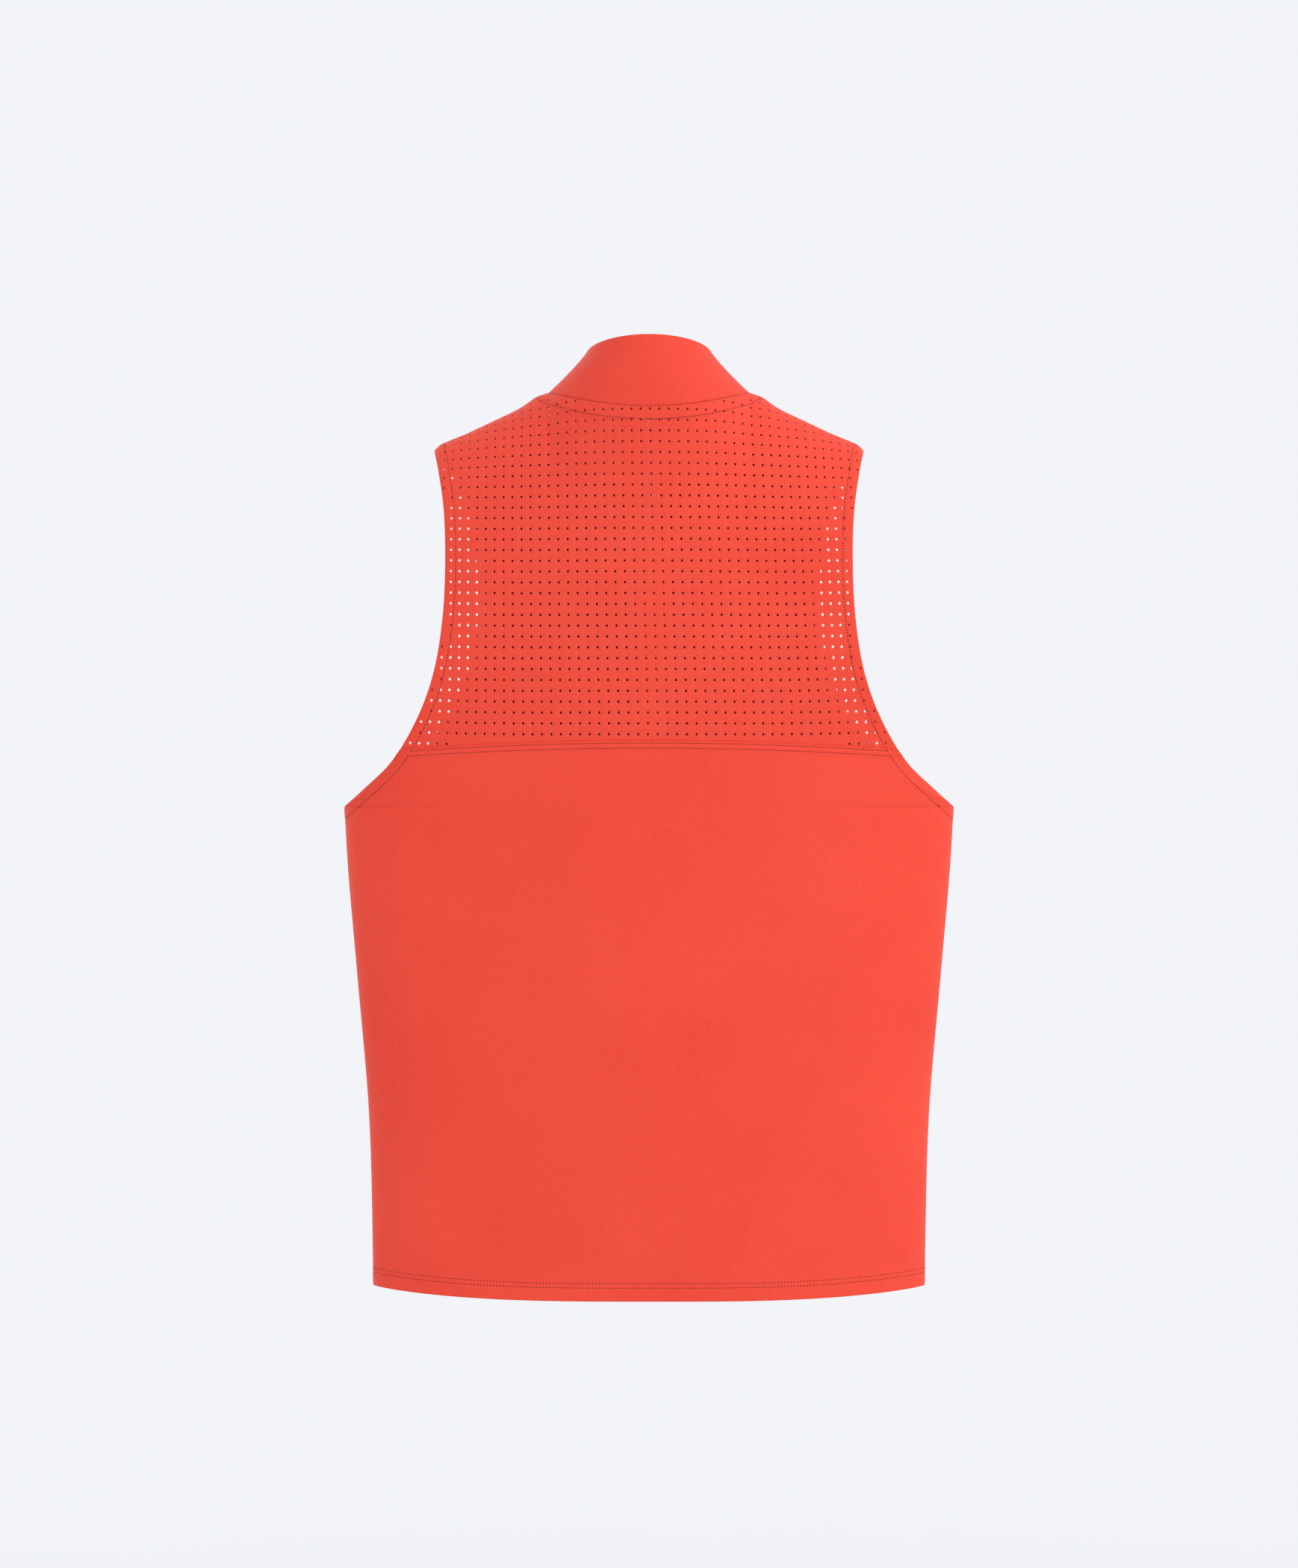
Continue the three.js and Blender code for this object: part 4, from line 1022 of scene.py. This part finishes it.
def inside(points, outline):
    """Which points lie in a closed outline."""
    hits = np.zeros(len(points), bool)
    for (x0, y0), (x1, y1) in zip(outline, np.roll(outline, -1, axis=0)):
        if y0 == y1:
            continue
        between = (points[:, 1] > y0) != (points[:, 1] > y1)
        hits ^= between & (points[:, 0] < (x1 - x0) * (points[:, 1] - y0) / (y1 - y0) + x0)
    return hits


def hole_lattice():
    """Centres of the perforations: rows and columns that lean a little, as the cloth was cut."""
    k, j = np.meshgrid(np.arange(-29, 30), np.arange(-2, 44))
    t = HOLE_FIRST + HOLE_T * j
    high = np.clip((t - 40) / 220, 0, 1.3)
    x = 0.9 + 5.5 * high**0.8 + k * (HOLE_X - 0.27 * high)
    x = HOLE_ROUND * np.sin(x / HOLE_ROUND)
    beside = np.clip((np.abs(x) - 105) / 75, 0, 1.2)
    x = x + np.sign(x) * 7.0 * beside * np.clip(1 - t / 110, 0, 1) ** 2
    return np.stack([x.ravel(), (t + 1.6 * beside**1.5).ravel()], -1)


HOLES = hole_lattice()
ring = np.arange(HOLE_SIDES) * 2 * math.pi / HOLE_SIDES
HOLE_RING = np.stack([HOLE_HALF_X * np.cos(ring), HOLE_HALF_T * np.sin(ring)], -1)


def offset_line(line, distance):
    """A line moved sideways to its left."""
    step = np.gradient(line, axis=0)
    step /= np.maximum(np.linalg.norm(step, axis=1, keepdims=True), 1e-9)
    return line + distance * np.stack([-step[:, 1], step[:, 0]], -1)


def evenly(line, pitch):
    """A line with evenly spaced points."""
    along = np.concatenate([[0], np.linalg.norm(np.diff(line, axis=0), axis=1).cumsum()])
    at = np.linspace(0, along[-1], max(2, int(along[-1] / pitch) + 1))
    return np.stack([np.interp(at, along, line[:, i]) for i in range(line.shape[1])], -1)


def punched(outline, exact, holes, free, ring=HOLE_RING):
    """Triangles over a flat outline with real holes, lifted onto the worn surface."""
    rings = (holes[:, None] + ring).reshape(-1, 2)
    collars = (holes[:, None] + ring * 1.5).reshape(-1, 2)
    half_x, half_t = ring.max(0)
    free = np.concatenate([free, collars])
    free = free[inside(free, outline)]
    free = free[from_line(free, np.concatenate([outline, outline[:1]])) > 0.35]
    if len(holes):
        cell = {}
        for hole in holes:
            cell.setdefault((int(hole[0] // 8), int(hole[1] // 8)), []).append(hole)
        keep = np.ones(len(free), bool)
        for i, (x, t) in enumerate(free):
            for a in (-1, 0, 1):
                for b in (-1, 0, 1):
                    for hx, ht in cell.get((int(x // 8) + a, int(t // 8) + b), ()):
                        if ((x - hx) / half_x) ** 2 + ((t - ht) / half_t) ** 2 < 1.9:
                            keep[i] = False
        free = free[keep]
    points = np.concatenate([outline, rings, free])
    n = len(outline)
    links = [(i, (i + 1) % n) for i in range(n)]
    for h in range(len(holes)):
        base = n + h * HOLE_SIDES
        links += [(base + i, base + (i + 1) % HOLE_SIDES) for i in range(HOLE_SIDES)]
    found, _, triangles, origin, _, _ = delaunay_2d_cdt(
        [Vector(p) for p in points], links, [], 0, 1e-5
    )
    flat = np.array([tuple(p) for p in found])
    triangles = np.array([t for t in triangles if len(t) == 3])
    middle = flat[triangles].mean(1)
    keep = inside(middle, outline)
    if len(holes):
        near = np.full(len(middle), 9.0)
        for i in range(0, len(middle), 2000):
            gap = middle[i : i + 2000, None, :] - holes[None]
            gap = (gap[..., 0] / half_x) ** 2 + (gap[..., 1] / half_t) ** 2
            near[i : i + 2000] = gap.min(1)
        keep &= near > 0.95
    triangles = triangles[keep]
    a, b, c = (flat[triangles[:, i]] for i in range(3))
    size = (b[:, 0] - a[:, 0]) * (c[:, 1] - a[:, 1]) - (b[:, 1] - a[:, 1]) * (c[:, 0] - a[:, 0])
    triangles = triangles[np.abs(size) > 1e-6]
    size = size[np.abs(size) > 1e-6]
    triangles[size > 0] = triangles[size > 0][:, ::-1]
    used, triangles = np.unique(triangles, return_inverse=True)
    triangles = triangles.reshape(-1, 3)
    place = yoke_at(flat)
    # rim marks the vertices round each hole, where the knit paints a highlight.
    rim = np.zeros(len(flat))
    for i, sources in enumerate(origin):
        for s in sources:
            if s < n and exact is not None:
                place[i] = exact[s]
            elif n <= s < n + len(rings):
                rim[i] = 1.0
    flat, place, rim = flat[used], place[used], rim[used]
    normal = np.zeros_like(place)
    a, b, c = (place[triangles[:, i]] for i in range(3))
    face = np.cross(b - a, c - a)
    for i in range(3):
        np.add.at(normal, triangles[:, i], face)
    return flat, place, unit(normal), triangles, rim


outline_half = chain("low", "arm_back", "arm_front", "forward", "neck_front", "neck_back")
yoke_outline, yoke_exact = two_halves(*outline_half)
arm_line = chain("arm_back", "arm_front")[0]
neck_flat = chain("neck_front", "neck_back")[0]
low_line, forward_line = edges["low"][0], edges["forward"][0]


def mirror_flat(line):
    return np.concatenate([line, line * np.array([-1.0, 1.0])])


def folded(flat):
    return np.stack([np.abs(flat[:, 0]), flat[:, 1]], -1)


hole_edge = from_line(HOLES, np.concatenate([yoke_outline, yoke_outline[:1]]))
in_yoke = inside(HOLES, yoke_outline) & (hole_edge > 1.75)
hole_neck = from_line(folded(HOLES), neck_flat)
hole_arm = from_line(folded(HOLES), arm_line)
yoke_holes = HOLES[in_yoke & (hole_neck > 2.6)]

free = [HOLES + np.array([HOLE_X / 2, HOLE_T / 2]), HOLES + np.array([0, HOLE_T / 2]),
        HOLES + np.array([HOLE_X / 2, 0])]
for line, distances in (
    (arm_line, (0.5, 1.2, 3.0, 5.4, 7.3, 7.9, 8.4, 8.9, 9.6, 10.6)),
    (neck_flat, (0.5, 1.2, 3.4, 6.5, 9.2, 10.5, 11.1, 11.7, 12.3, 13.2, 14.6)),
    (low_line, (0.4, 0.9, 1.8, 3.4)), (forward_line, (0.4, 0.9, 1.8, 3.4)),
):
    for distance in distances:
        free.append(mirror_flat(evenly(offset_line(line, distance), 2.4)))
flat, yoke_p, yoke_n, yoke_tri, rim = punched(
    yoke_outline, yoke_exact, yoke_holes, np.concatenate(free),
)
near_arm, near_neck = from_line(folded(flat), arm_line), from_line(folded(flat), neck_flat)
near_low, near_forward = from_line(folded(flat), low_line), from_line(folded(flat), forward_line)
is_front = yoke_p[:, 1] < 0
yoke_wave = np.where(is_front, 0.0, wave(yoke_p[:, 0], yoke_p[:, 2], False))
yoke_lift = (
    yoke_wave + band(near_neck, NECK_BAND, 0.5, (NECK_ROW,), roll=0.4, groove=0.5)
    + band(near_arm, ARM_BAND, 0.26, (ARM_ROW,), roll=0.25, groove=0.5)
    - 0.4 * np.exp(-((near_low / 0.8) ** 2)) - 0.4 * np.exp(-((near_forward / 0.8) ** 2))
    - 0.14 * rim
)
cloth(
    "back_yoke_knit",
    [(yoke_p, yoke_n, yoke_tri, flat, yoke_lift, 0.0, FABRIC, 0.1, rim)],
    YOKE_KNIT, ["back_yoke"], back=SHADE,
)


def sew_yoke(line, lift, **settings):
    """Stitches a flat line of the yoke, on both sides."""
    point, normal = yoke_frame(evenly(line, 0.8))
    rise = lift + np.where(point[:, 1] < 0, 0, wave(point[:, 0], point[:, 2], False))
    both_sides(point + normal * rise[:, None], normal, **settings)


sew_yoke(offset_line(neck_flat, NECK_ROW), 0.24, pitch=2.35, length=1.4, width=0.95)
sew_yoke(offset_line(neck_flat, 0.7), 0.3, pitch=2.1, length=1.3, width=0.8)
sew_yoke(offset_line(arm_line, ARM_ROW), -0.12, pitch=2.3, length=1.4)

# ---- facings under the armholes and the hem ----
def facing_patch(angle_values, z_values, front, lift):
    point, normal = corner(angle_values, z_values, front)
    return patch(point, normal, lift, FACING_TOP, FACING_UNDER, roll=0.12)


ARM_HEM_ANGLE = math.asin(1 - ARM_HEM / ARMHOLE_NARROW)
arm_angles = np.concatenate([ARM_HEM_ANGLE + np.array([0, 0.03, 0.1, 0.2, 0.28]), [QUARTER]])
arm_u = np.sin(arm_angles)
STRIP_LAP = 1.0


def arm_strip(top, front):
    """The facing beside the armhole, from the underarm up to the yoke."""
    share = np.linspace(0, 1, 42)[:, None]
    low = UNDERARM_Z - 1.5
    z = low + share * (top - low)
    z, a = np.broadcast_arrays(z, arm_angles)
    lift = wave(np.sin(a) * half_width(z, front), z, front) + 0.2
    return facing_patch(a, z, front, lift)


def arm_yoke_strip():
    """The facing under the yoke's part of the armhole, punched like the yoke."""
    outline = np.concatenate([arm_line, offset_line(arm_line, ARM_HEM)[::-1]])
    close = HOLES[(hole_arm < ARM_HEM - 2.2) & (hole_arm > 3.4) & in_yoke & (HOLES[:, 0] > 0)]
    free = np.concatenate([evenly(offset_line(arm_line, d), 3.0) for d in (1.5, 3.5, 5.5, 7.5)])
    wide = HOLE_RING * np.array([1.7, 1.15])
    return punched(outline, None, close + np.array([0.9, 0.0]), free, wide)


strip_flat, strip_p, strip_n, strip_tri, strip_rim = arm_yoke_strip()
strip_wave = np.where(strip_p[:, 1] < 0, 0.0, wave(strip_p[:, 0], strip_p[:, 2], False))
back_strip = arm_strip(yoke_line(arm_u) + STRIP_LAP, False)
front_strip = arm_strip(row_height(arm_u, SEAM_SHARE + STRIP_LAP / FORWARD_RUN, True), True)
# The facing's holes get a weaker painted highlight at their edges (rim at 0.4).
yoke_strip = (
    strip_p, strip_n, strip_tri, strip_flat, strip_wave + 0.2, FACING_TOP, FACING_UNDER, 0.12,
    strip_rim * 0.4,
)
for side, turn in SIDES:
    parts = [turned(part, turn) for part in (back_strip, front_strip, yoke_strip)]
    cloth(
        f"armhole_facing_{side}_knit", parts, INNER, [f"armhole_facing_{side}"],
    )

hem_share = np.array([0, 1.0, 3.0, 6.0, 9.0, 11.0, 13.0, BOTTOM_HEM]) / (UNDERARM_Z - HEM_Z)
hem_z = np.array([low_height(np.sin(angles), share) for share in hem_share])
hem_a = np.broadcast_to(angles, hem_z.shape)
hem_lift = wave(np.sin(hem_a) * half_width(hem_z, False), hem_z, False) + 0.2
cloth(
    "hem_facing_back_knit", [facing_patch(hem_a, hem_z, False, hem_lift)], INNER,
    ["hem_facing_back"],
)


def hem_front_patch():
    rows = []
    for share in hem_share:
        z0 = low_height(0.0, share)
        first = math.asin(LINING_EDGE / float(half_width(np.array(z0), True)))
        angle = first + spans((0, 0.02), (1.45, 0.012), 1.549) / 1.549 * (QUARTER - first)
        rows.append((angle, low_height(np.sin(angle), share)))
    angle, z = both(rows)
    lift = wave(np.sin(angle) * half_width(z, True), z, True) + 0.2
    return facing_patch(angle, z, True, lift)


hem_front = hem_front_patch()

# ---- collar: fine rows from the neck seam to the folded top edge ----
def collar_grid(edge, rows, columns, foot=0.0):
    """foot lowers the first rows ahead of the shoulders, behind the front panels."""
    out = []
    for s in rows:
        first = math.asin(edge / float(collar_half(np.array(s))))
        phi = first + columns * 2 * (math.pi - first)
        drop = foot * (1 - s) ** 3 * np.sqrt(np.maximum(0, np.cos(phi)))
        out.append(collar_corner(phi, s + drop))
    return both(out)


collar_s = np.concatenate([
    [0, 0.008, 0.02, 0.045], spans((0.08, 0.05), 0.9), [0.93, 0.955, 0.972, 0.985, 0.994, 1.0],
])
collar_v = spans((0, 0.0012), (0.012, 0.004), (0.03, 0.0075), (0.97, 0.004), (0.988, 0.0012), 1.0)
collar_p, collar_n = collar_grid(ZIP_EDGE, collar_s, collar_v)
COLLAR_RISE, TOP_FOLD = 62.0, 3.0
below_top = (1 - collar_s) * COLLAR_RISE
from_zip = np.abs(np.abs(collar_p[..., 0]) + FAR * (collar_p[..., 1] > 0) - ZIP_EDGE)
collar_lift = (
    band(collar_s * COLLAR_RISE, 0.0, 0.0, roll=0.3) + band(below_top, TOP_FOLD, 0.12, roll=0.3)
)[:, None] + band(from_zip, ZIP_BAND, 0.15, (ZIP_ROW,), roll=0.2)
cloth(
    "collar_outer_knit", [patch(collar_p, collar_n, collar_lift, 0.0, COLLAR_PLY, roll=0.22)],
    COLLAR_KNIT, ["collar_outer"],
)
lining_p, lining_n = collar_grid(LINING_EDGE, collar_s, collar_v, foot=-0.03)
lining_lift = band(below_top, TOP_FOLD, 0.0, roll=-0.12)[:, None] * np.ones(len(collar_v))
LINING_TOP = COLLAR_PLY + PLY_GAP
cloth(
    "collar_lining_knit",
    [patch(lining_p, lining_n, lining_lift, LINING_TOP, LINING_TOP + FACING, roll=0.1)],
    INNER, ["collar_lining"],
)
collar_top_s = np.linspace(0.02, 0.97, 120)
collar_row = np.arcsin((ZIP_EDGE + ZIP_ROW) / collar_half(collar_top_s))
point, normal = collar_corner(collar_row, collar_top_s)
both_sides(point - normal * 0.06, normal, length=1.6)

for side, turn in SIDES:
    cloth(
        f"hem_facing_front_{side}_knit", [turned(hem_front, turn)], INNER,
        [f"hem_facing_front_{side}"],
    )

# ---- neck tape and zip tapes ----
tape_half = np.arcsin(NECK_HALF * np.sin(np.linspace(0, 5 / 6, 40) * QUARTER) / SHOULDER_HALF)
tape_a = np.concatenate([-tape_half[:0:-1], tape_half])
tape_rows = []
for share in np.linspace(1 - NECK_TAPE / (-NECK_BACK_DROP - YOKE_Z), 1, 10):
    base = yoke_line(np.sin(tape_a)) + SEAM_GAP / 2
    tape_rows.append(base + share * (top_height(np.sin(tape_a), False) - base))
tape_z = np.array(tape_rows)
tape_p, tape_n = corner(np.broadcast_to(tape_a, tape_z.shape), tape_z, False)
cloth(
    "neck_tape_woven", [patch(tape_p, tape_n, 0.1, FACING_TOP, FACING_TOP + TAPE, roll=0.1)],
    TAPE_CLOTH, ["neck_tape"],
)


def zip_tape_patch():
    """The left tape, from the hem up to the top of the collar."""
    xs = np.array([TEETH_OUTER + PLY_GAP, 4.2, ZIP_EDGE, 7.5, 10, 12.5, 15, ZIP_TAPE_EDGE])
    rows = []
    for z0 in spans((HEM_Z + 1, 6.0), -78.0):
        angle = np.arcsin(xs / half_width(np.array(z0), True))
        fade = max(0.0, (UNDERARM_Z - z0) / (UNDERARM_Z - HEM_Z))
        z = z0 + (hem_line(np.sin(angle)) - HEM_Z) * fade
        rows.append(corner(angle, z, True))
    neck = neck_point(np.arcsin(xs / NECK_HALF))
    z = neck[:, 2] - SEAM_GAP
    rows.append(corner(np.arcsin(xs / half_width(z, True)), z, True))
    for s in np.linspace(0, 0.97, 14):
        rows.append(collar_corner(np.arcsin(xs / collar_half(s)), np.full_like(xs, s)))
    return both(rows)


zip_p, zip_n = zip_tape_patch()
for side, turn in SIDES:
    cloth(
        f"zip_tape_{side}_woven",
        [patch(zip_p * turn, zip_n * turn, 0.0, FACING_TOP, FACING_TOP + TAPE, roll=0.1)],
        TAPE_CLOTH, [f"zip_tape_{side}"],
    )

# ---- wind guard, hang loop and care label ----
def rounded_path(corners, radius, step=0.9):
    """A line through corners, with round bends."""
    corners = [np.array(c, float) for c in corners]
    out = [corners[0]]
    for before, here, after in zip(corners, corners[1:], corners[2:]):
        into, away = unit(here - before), unit(after - here)
        turn = math.acos(float(np.clip(into @ away, -1, 1)))
        cut = min(radius * math.tan(turn / 2), 0.45 * np.linalg.norm(here - before),
                  0.45 * np.linalg.norm(after - here))
        for t in np.linspace(0, 1, 7):
            start, middle = (1 - t) ** 2 * (here - into * cut), 2 * t * (1 - t) * here
            out.append(start + middle + t * t * (here + away * cut))
    out.append(corners[-1])
    return evenly(np.array(out), step)


guard_low, guard_high = HEM_Z + 4, -NECK_FRONT_DROP - 7
GUARD_LINE = [(15.5, -69.6), (9.5, -69.6), (7.0, -66.6), (-8.0, -66.6)]
guard_path = rounded_path([(x, y + FACING / 2, 0.0) for x, y in GUARD_LINE], 1.2)
guard_z = spans((guard_low, 6.0), guard_high)
guard_p = np.array([guard_path + np.array([0, 0, z]) for z in guard_z])
guard_n = unit(np.cross(np.gradient(guard_p, axis=1), np.array([0, 0, 1.0])))
cloth(
    "zip_guard_knit", [patch(guard_p, guard_n, 0.0, -FACING / 2, FACING / 2, roll=0.15)], INNER,
    ["zip_guard"],
)

LOOP_HALF, LOOP_EDGE, LOOP_FAR, LOOP_Z, LOOP_WIDTH, LOOP_PLY = 20.0, 57.47, 41.47, -14.5, 6.0, 0.9
loop_mid = LOOP_HALF - LOOP_WIDTH / 2
loop_line = rounded_path([
    (-loop_mid, LOOP_EDGE, LOOP_Z), (-loop_mid, LOOP_FAR + LOOP_WIDTH / 2, LOOP_Z),
    (loop_mid, LOOP_FAR + LOOP_WIDTH / 2, LOOP_Z), (loop_mid, LOOP_EDGE, LOOP_Z),
], 4.5)
loop_side = unit(np.cross(np.gradient(loop_line, axis=0), np.array([0, 0, 1.0]))) * LOOP_WIDTH
loop_p = loop_line[:, None] + loop_side[:, None] * np.linspace(-0.5, 0.5, 9)[None, :, None]
loop_across = np.broadcast_to(loop_side[:, None], loop_p.shape)
loop_n = unit(np.cross(np.gradient(loop_p, axis=0), loop_across))
cloth(
    "hang_loop_woven", [patch(loop_p, loop_n, 0.0, -LOOP_PLY / 2, LOOP_PLY / 2, roll=0.1)],
    TAPE_CLOTH, ["hang_loop"],
)

LABEL_LOW, LABEL_HIGH, LABEL_TOP_DEPTH = -655.0, -600.0, FABRIC + 0.45
label_a = np.linspace(ARM_HEM_ANGLE * 5 / 6, ARM_HEM_ANGLE, 16)
label_z = np.linspace(LABEL_LOW, LABEL_HIGH, 24)[:, None] + 0 * label_a
label_p, label_n = corner(np.broadcast_to(label_a, label_z.shape), label_z, False)
label_lift = wave(label_p[..., 0], label_z, False) - 0.25
cloth(
    "care_label_woven",
    [patch(label_p, label_n, label_lift, LABEL_TOP_DEPTH, LABEL_TOP_DEPTH + TAPE, roll=0.12)],
    LABEL_CLOTH, ["care_label"],
)

# ---- zip: moulded teeth on a cord along each tape ----
def soft_block(x, y, z, bevel):
    """A block with eight-sided ends along x and slightly smaller front and back faces."""
    points, faces = [], []
    (x0, x1), (y0, y1), (z0, z1) = x, y, z
    for yy, inset in ((y0, bevel), (y0 + bevel, 0.0), (y1 - bevel, 0.0), (y1, bevel)):
        a, b, c, d = x0 + inset, x1 - inset, z0 + inset, z1 - inset
        k = bevel
        points += [(a + k, yy, c), (b - k, yy, c), (b, yy, c + k), (b, yy, d - k),
                   (b - k, yy, d), (a + k, yy, d), (a, yy, d - k), (a, yy, c + k)]
    faces.append(tuple(range(8)))
    faces.append(tuple(range(31, 23, -1)))
    for r in range(3):
        for i in range(8):
            n = (i + 1) % 8
            faces.append((r * 8 + n, r * 8 + i, (r + 1) * 8 + i, (r + 1) * 8 + n))
    return points, faces


def gather(node, blocks, turn):
    """Blocks of one zip part as one piece, mirrored where turn mirrors."""
    points, faces = [], []
    for block_points, block_faces in blocks:
        base = len(points)
        points += block_points
        faces += [tuple(i + base for i in face) for face in block_faces]
    if turn is MIRROR:
        faces = [face[::-1] for face in faces]
    points = np.array(points) * turn
    add_mesh(f"{node}_moulded", points, faces, TEETH_PLASTIC, [node], sharp=35)


STOP_TOP = COLLAR_FRONT_Z - 2
STOP_LOW = STOP_TOP - 3
CHAIN_TOP, CHAIN_LOW = STOP_LOW - PLY_GAP, HEM_Z + 1 + 9 + 20 + PLY_GAP
TOOTH_PITCH, TOOTH_HIGH = 2.9, 1.8
for side, turn in SIDES:
    first = CHAIN_LOW + 0.1 + (TOOTH_PITCH / 2 if turn is MIRROR else 0)
    count = int((CHAIN_TOP - first - TOOTH_HIGH) / TOOTH_PITCH) + 1
    teeth = [
        soft_block((2.35, TEETH_OUTER), (-71.35, -69.75), (CHAIN_LOW, CHAIN_TOP), 0.15),
        soft_block((1.15, 2.5), (-70.3, -69.75), (CHAIN_LOW, CHAIN_TOP), 0.1),
    ]
    for k in range(count):
        z = first + k * TOOTH_PITCH
        root = soft_block((1.3, TEETH_OUTER), (TEETH_FRONT, TEETH_BACK), (z, z + TOOTH_HIGH), 0.28)
        teeth.append(root)
        teeth.append(soft_block((-1.2, 1.6), (-71.65, -69.45), (z + 0.2, z + 1.6), 0.25))
    gather(f"zip_teeth_{side}", teeth, turn)
    stop = soft_block(
        (TEETH_INNER, TEETH_OUTER), (TEETH_FRONT, TEETH_BACK), (STOP_LOW, STOP_TOP), 0.5,
    )
    gather(f"zip_stop_{side}", [stop], turn)


def soften(node, material, width):
    """A hard part keeps its CAD shape, with rounded edges and its own finish."""
    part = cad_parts[node]
    part.data.materials.clear()
    part.data.materials.append(material)
    edge = part.modifiers.new("edges", "BEVEL")
    edge.width, edge.segments, edge.limit_method = width, 3, "ANGLE"
    edge.angle_limit = math.radians(40)
    edge.harden_normals = False


soften("insertion_pin", TEETH_PLASTIC, 0.00025)
soften("retainer_box", TEETH_PLASTIC, 0.0003)
soften("slider_body", SLIDER_METAL, 0.00028)
soften("pull_tab", SLIDER_METAL, 0.00022)


def grip_piece():
    """The rubber grip: a bar with rounded ends and finger ribs across it."""
    low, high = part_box("pull_grip")
    low, high = np.array(low) / MM, np.array(high) / MM
    centre, half, length = (low + high) / 2, (high - low) / 2, high[2] - low[2]
    sides, rows = 28, []
    tip = np.array([0, 0.25, 0.7, 1.4, 2.4])
    for t in np.concatenate([tip, spans((3.4, 0.35), length - 3.4), length - tip[::-1]]):
        end = min(t, length - t, 2.4)
        shrink = 1 - 0.42 * (1 - end / 2.4) ** 2.2
        ribs = 0.1 * math.cos(2 * math.pi * (t - 3.4) / 1.75) if 3.4 < t < length - 6 else 0.0
        half_y = half[1] * (0.72 + 0.28 * min(1, end / 1.2)) - 0.1 + ribs
        row = []
        for k in range(sides):
            a = 2 * math.pi * k / sides
            c, s = math.cos(a), math.sin(a)
            x = math.copysign(abs(c) ** 0.55, c) * half[0] * shrink
            y = math.copysign(abs(s) ** 0.55, s) * half_y
            row.append((centre[0] + x, centre[1] + y, low[2] + t))
        rows.append(row)
    points = [p for row in rows for p in row]
    faces = [tuple(range(sides))[::-1], tuple(range(len(points) - sides, len(points)))]
    for r in range(len(rows) - 1):
        for k in range(sides):
            n = (k + 1) % sides
            faces.append((r * sides + k, r * sides + n, (r + 1) * sides + n, (r + 1) * sides + k))
    add_mesh(
        "pull_grip_rubber", np.array(points), faces, GRIP_RUBBER, ["pull_grip"],
        body="pull", sharp=60,
    )


grip_piece()

# ---- threads: all stitches as one piece ----
add_mesh(
    "stitching", np.concatenate(threads["points"]), threads["faces"], THREAD,
    uv=np.concatenate(threads["uv"]), sharp=180,
)

# ---- floor, light and camera ----
def soft_disc(name, radius, z, rings=12, sides=96):
    points, faces = [(0.0, 0.0, z)], []
    for r in range(1, rings + 1):
        for k in range(sides):
            a = 2 * math.pi * k / sides
            points.append((radius * r / rings * math.cos(a), radius * r / rings * math.sin(a), z))
    for k in range(sides):
        n = (k + 1) % sides
        faces.append((0, 1 + k, 1 + n))
        for r in range(rings - 1):
            a, b = 1 + r * sides, 1 + (r + 1) * sides
            faces.append((a + k, b + k, b + n, a + n))
    mesh = bpy.data.meshes.new(name)
    mesh.from_pydata(points, [], faces)
    disc = bpy.data.objects.new(name, mesh)
    bpy.context.scene.collection.objects.link(disc)
    return disc


PALE = srgb(243, 245, 249)
floor = soft_disc("floor", 1.5, -1.06)
ground = Nodes("floor_paint")
place = ground.place()
from_middle = ground.add("ShaderNodeVectorMath", "Value", {0: place}, operation="LENGTH")
tone = ground.noise(place, 3, 2)
ground.set(
    Base_Color=ground.mix(tone, (0.80, 0.81, 0.83, 1), (0.84, 0.85, 0.87, 1)),
    Alpha=ground.ramp(from_middle, 1.75, 1.2), Roughness=0.9, Specular_IOR_Level=0.1,
)
floor.data.materials.append(ground.material)

world = bpy.data.worlds.new("studio")
bpy.context.scene.world = world
world.use_nodes = True
sky = world.node_tree.nodes["Background"]
sky.inputs["Color"].default_value = PALE
sky.inputs["Strength"].default_value = 0.99


def area_light(name, place, target, size, power, colour=(1, 1, 1)):
    light = bpy.data.lights.new(name, "AREA")
    light.size, light.energy, light.color = size, power, colour
    lamp = bpy.data.objects.new(name, light)
    lamp.location = place
    lamp.rotation_euler = (Vector(target) - Vector(place)).to_track_quat("-Z", "Y").to_euler()
    bpy.context.scene.collection.objects.link(lamp)


MIDDLE = (0.0, 0.0, -0.33)
area_light("key", (-2.9, 2.2, 1.3), MIDDLE, 1.6, 50)
area_light("front_fill", (1.6, -3.0, 0.9), MIDDLE, 2.2, 14)

camera = bpy.data.cameras.new("camera")
camera.sensor_fit = "VERTICAL"
# The view is VIEW_HEIGHT metres high at the garment's middle plane, EYE_BACK metres away.
EYE_BACK, VIEW_HEIGHT = 6.0, 1.290
camera.sensor_height = 24
camera.lens = camera.sensor_height * EYE_BACK / VIEW_HEIGHT
camera.clip_start, camera.clip_end = 0.05, 60
eye = bpy.data.objects.new("camera", camera)
eye.location = (0.0, EYE_BACK, -0.3213)
eye.rotation_euler = (math.radians(90), 0, math.radians(180))
bpy.context.scene.collection.objects.link(eye)
bpy.context.scene.camera = eye
bpy.context.scene.view_settings.view_transform = "Standard"
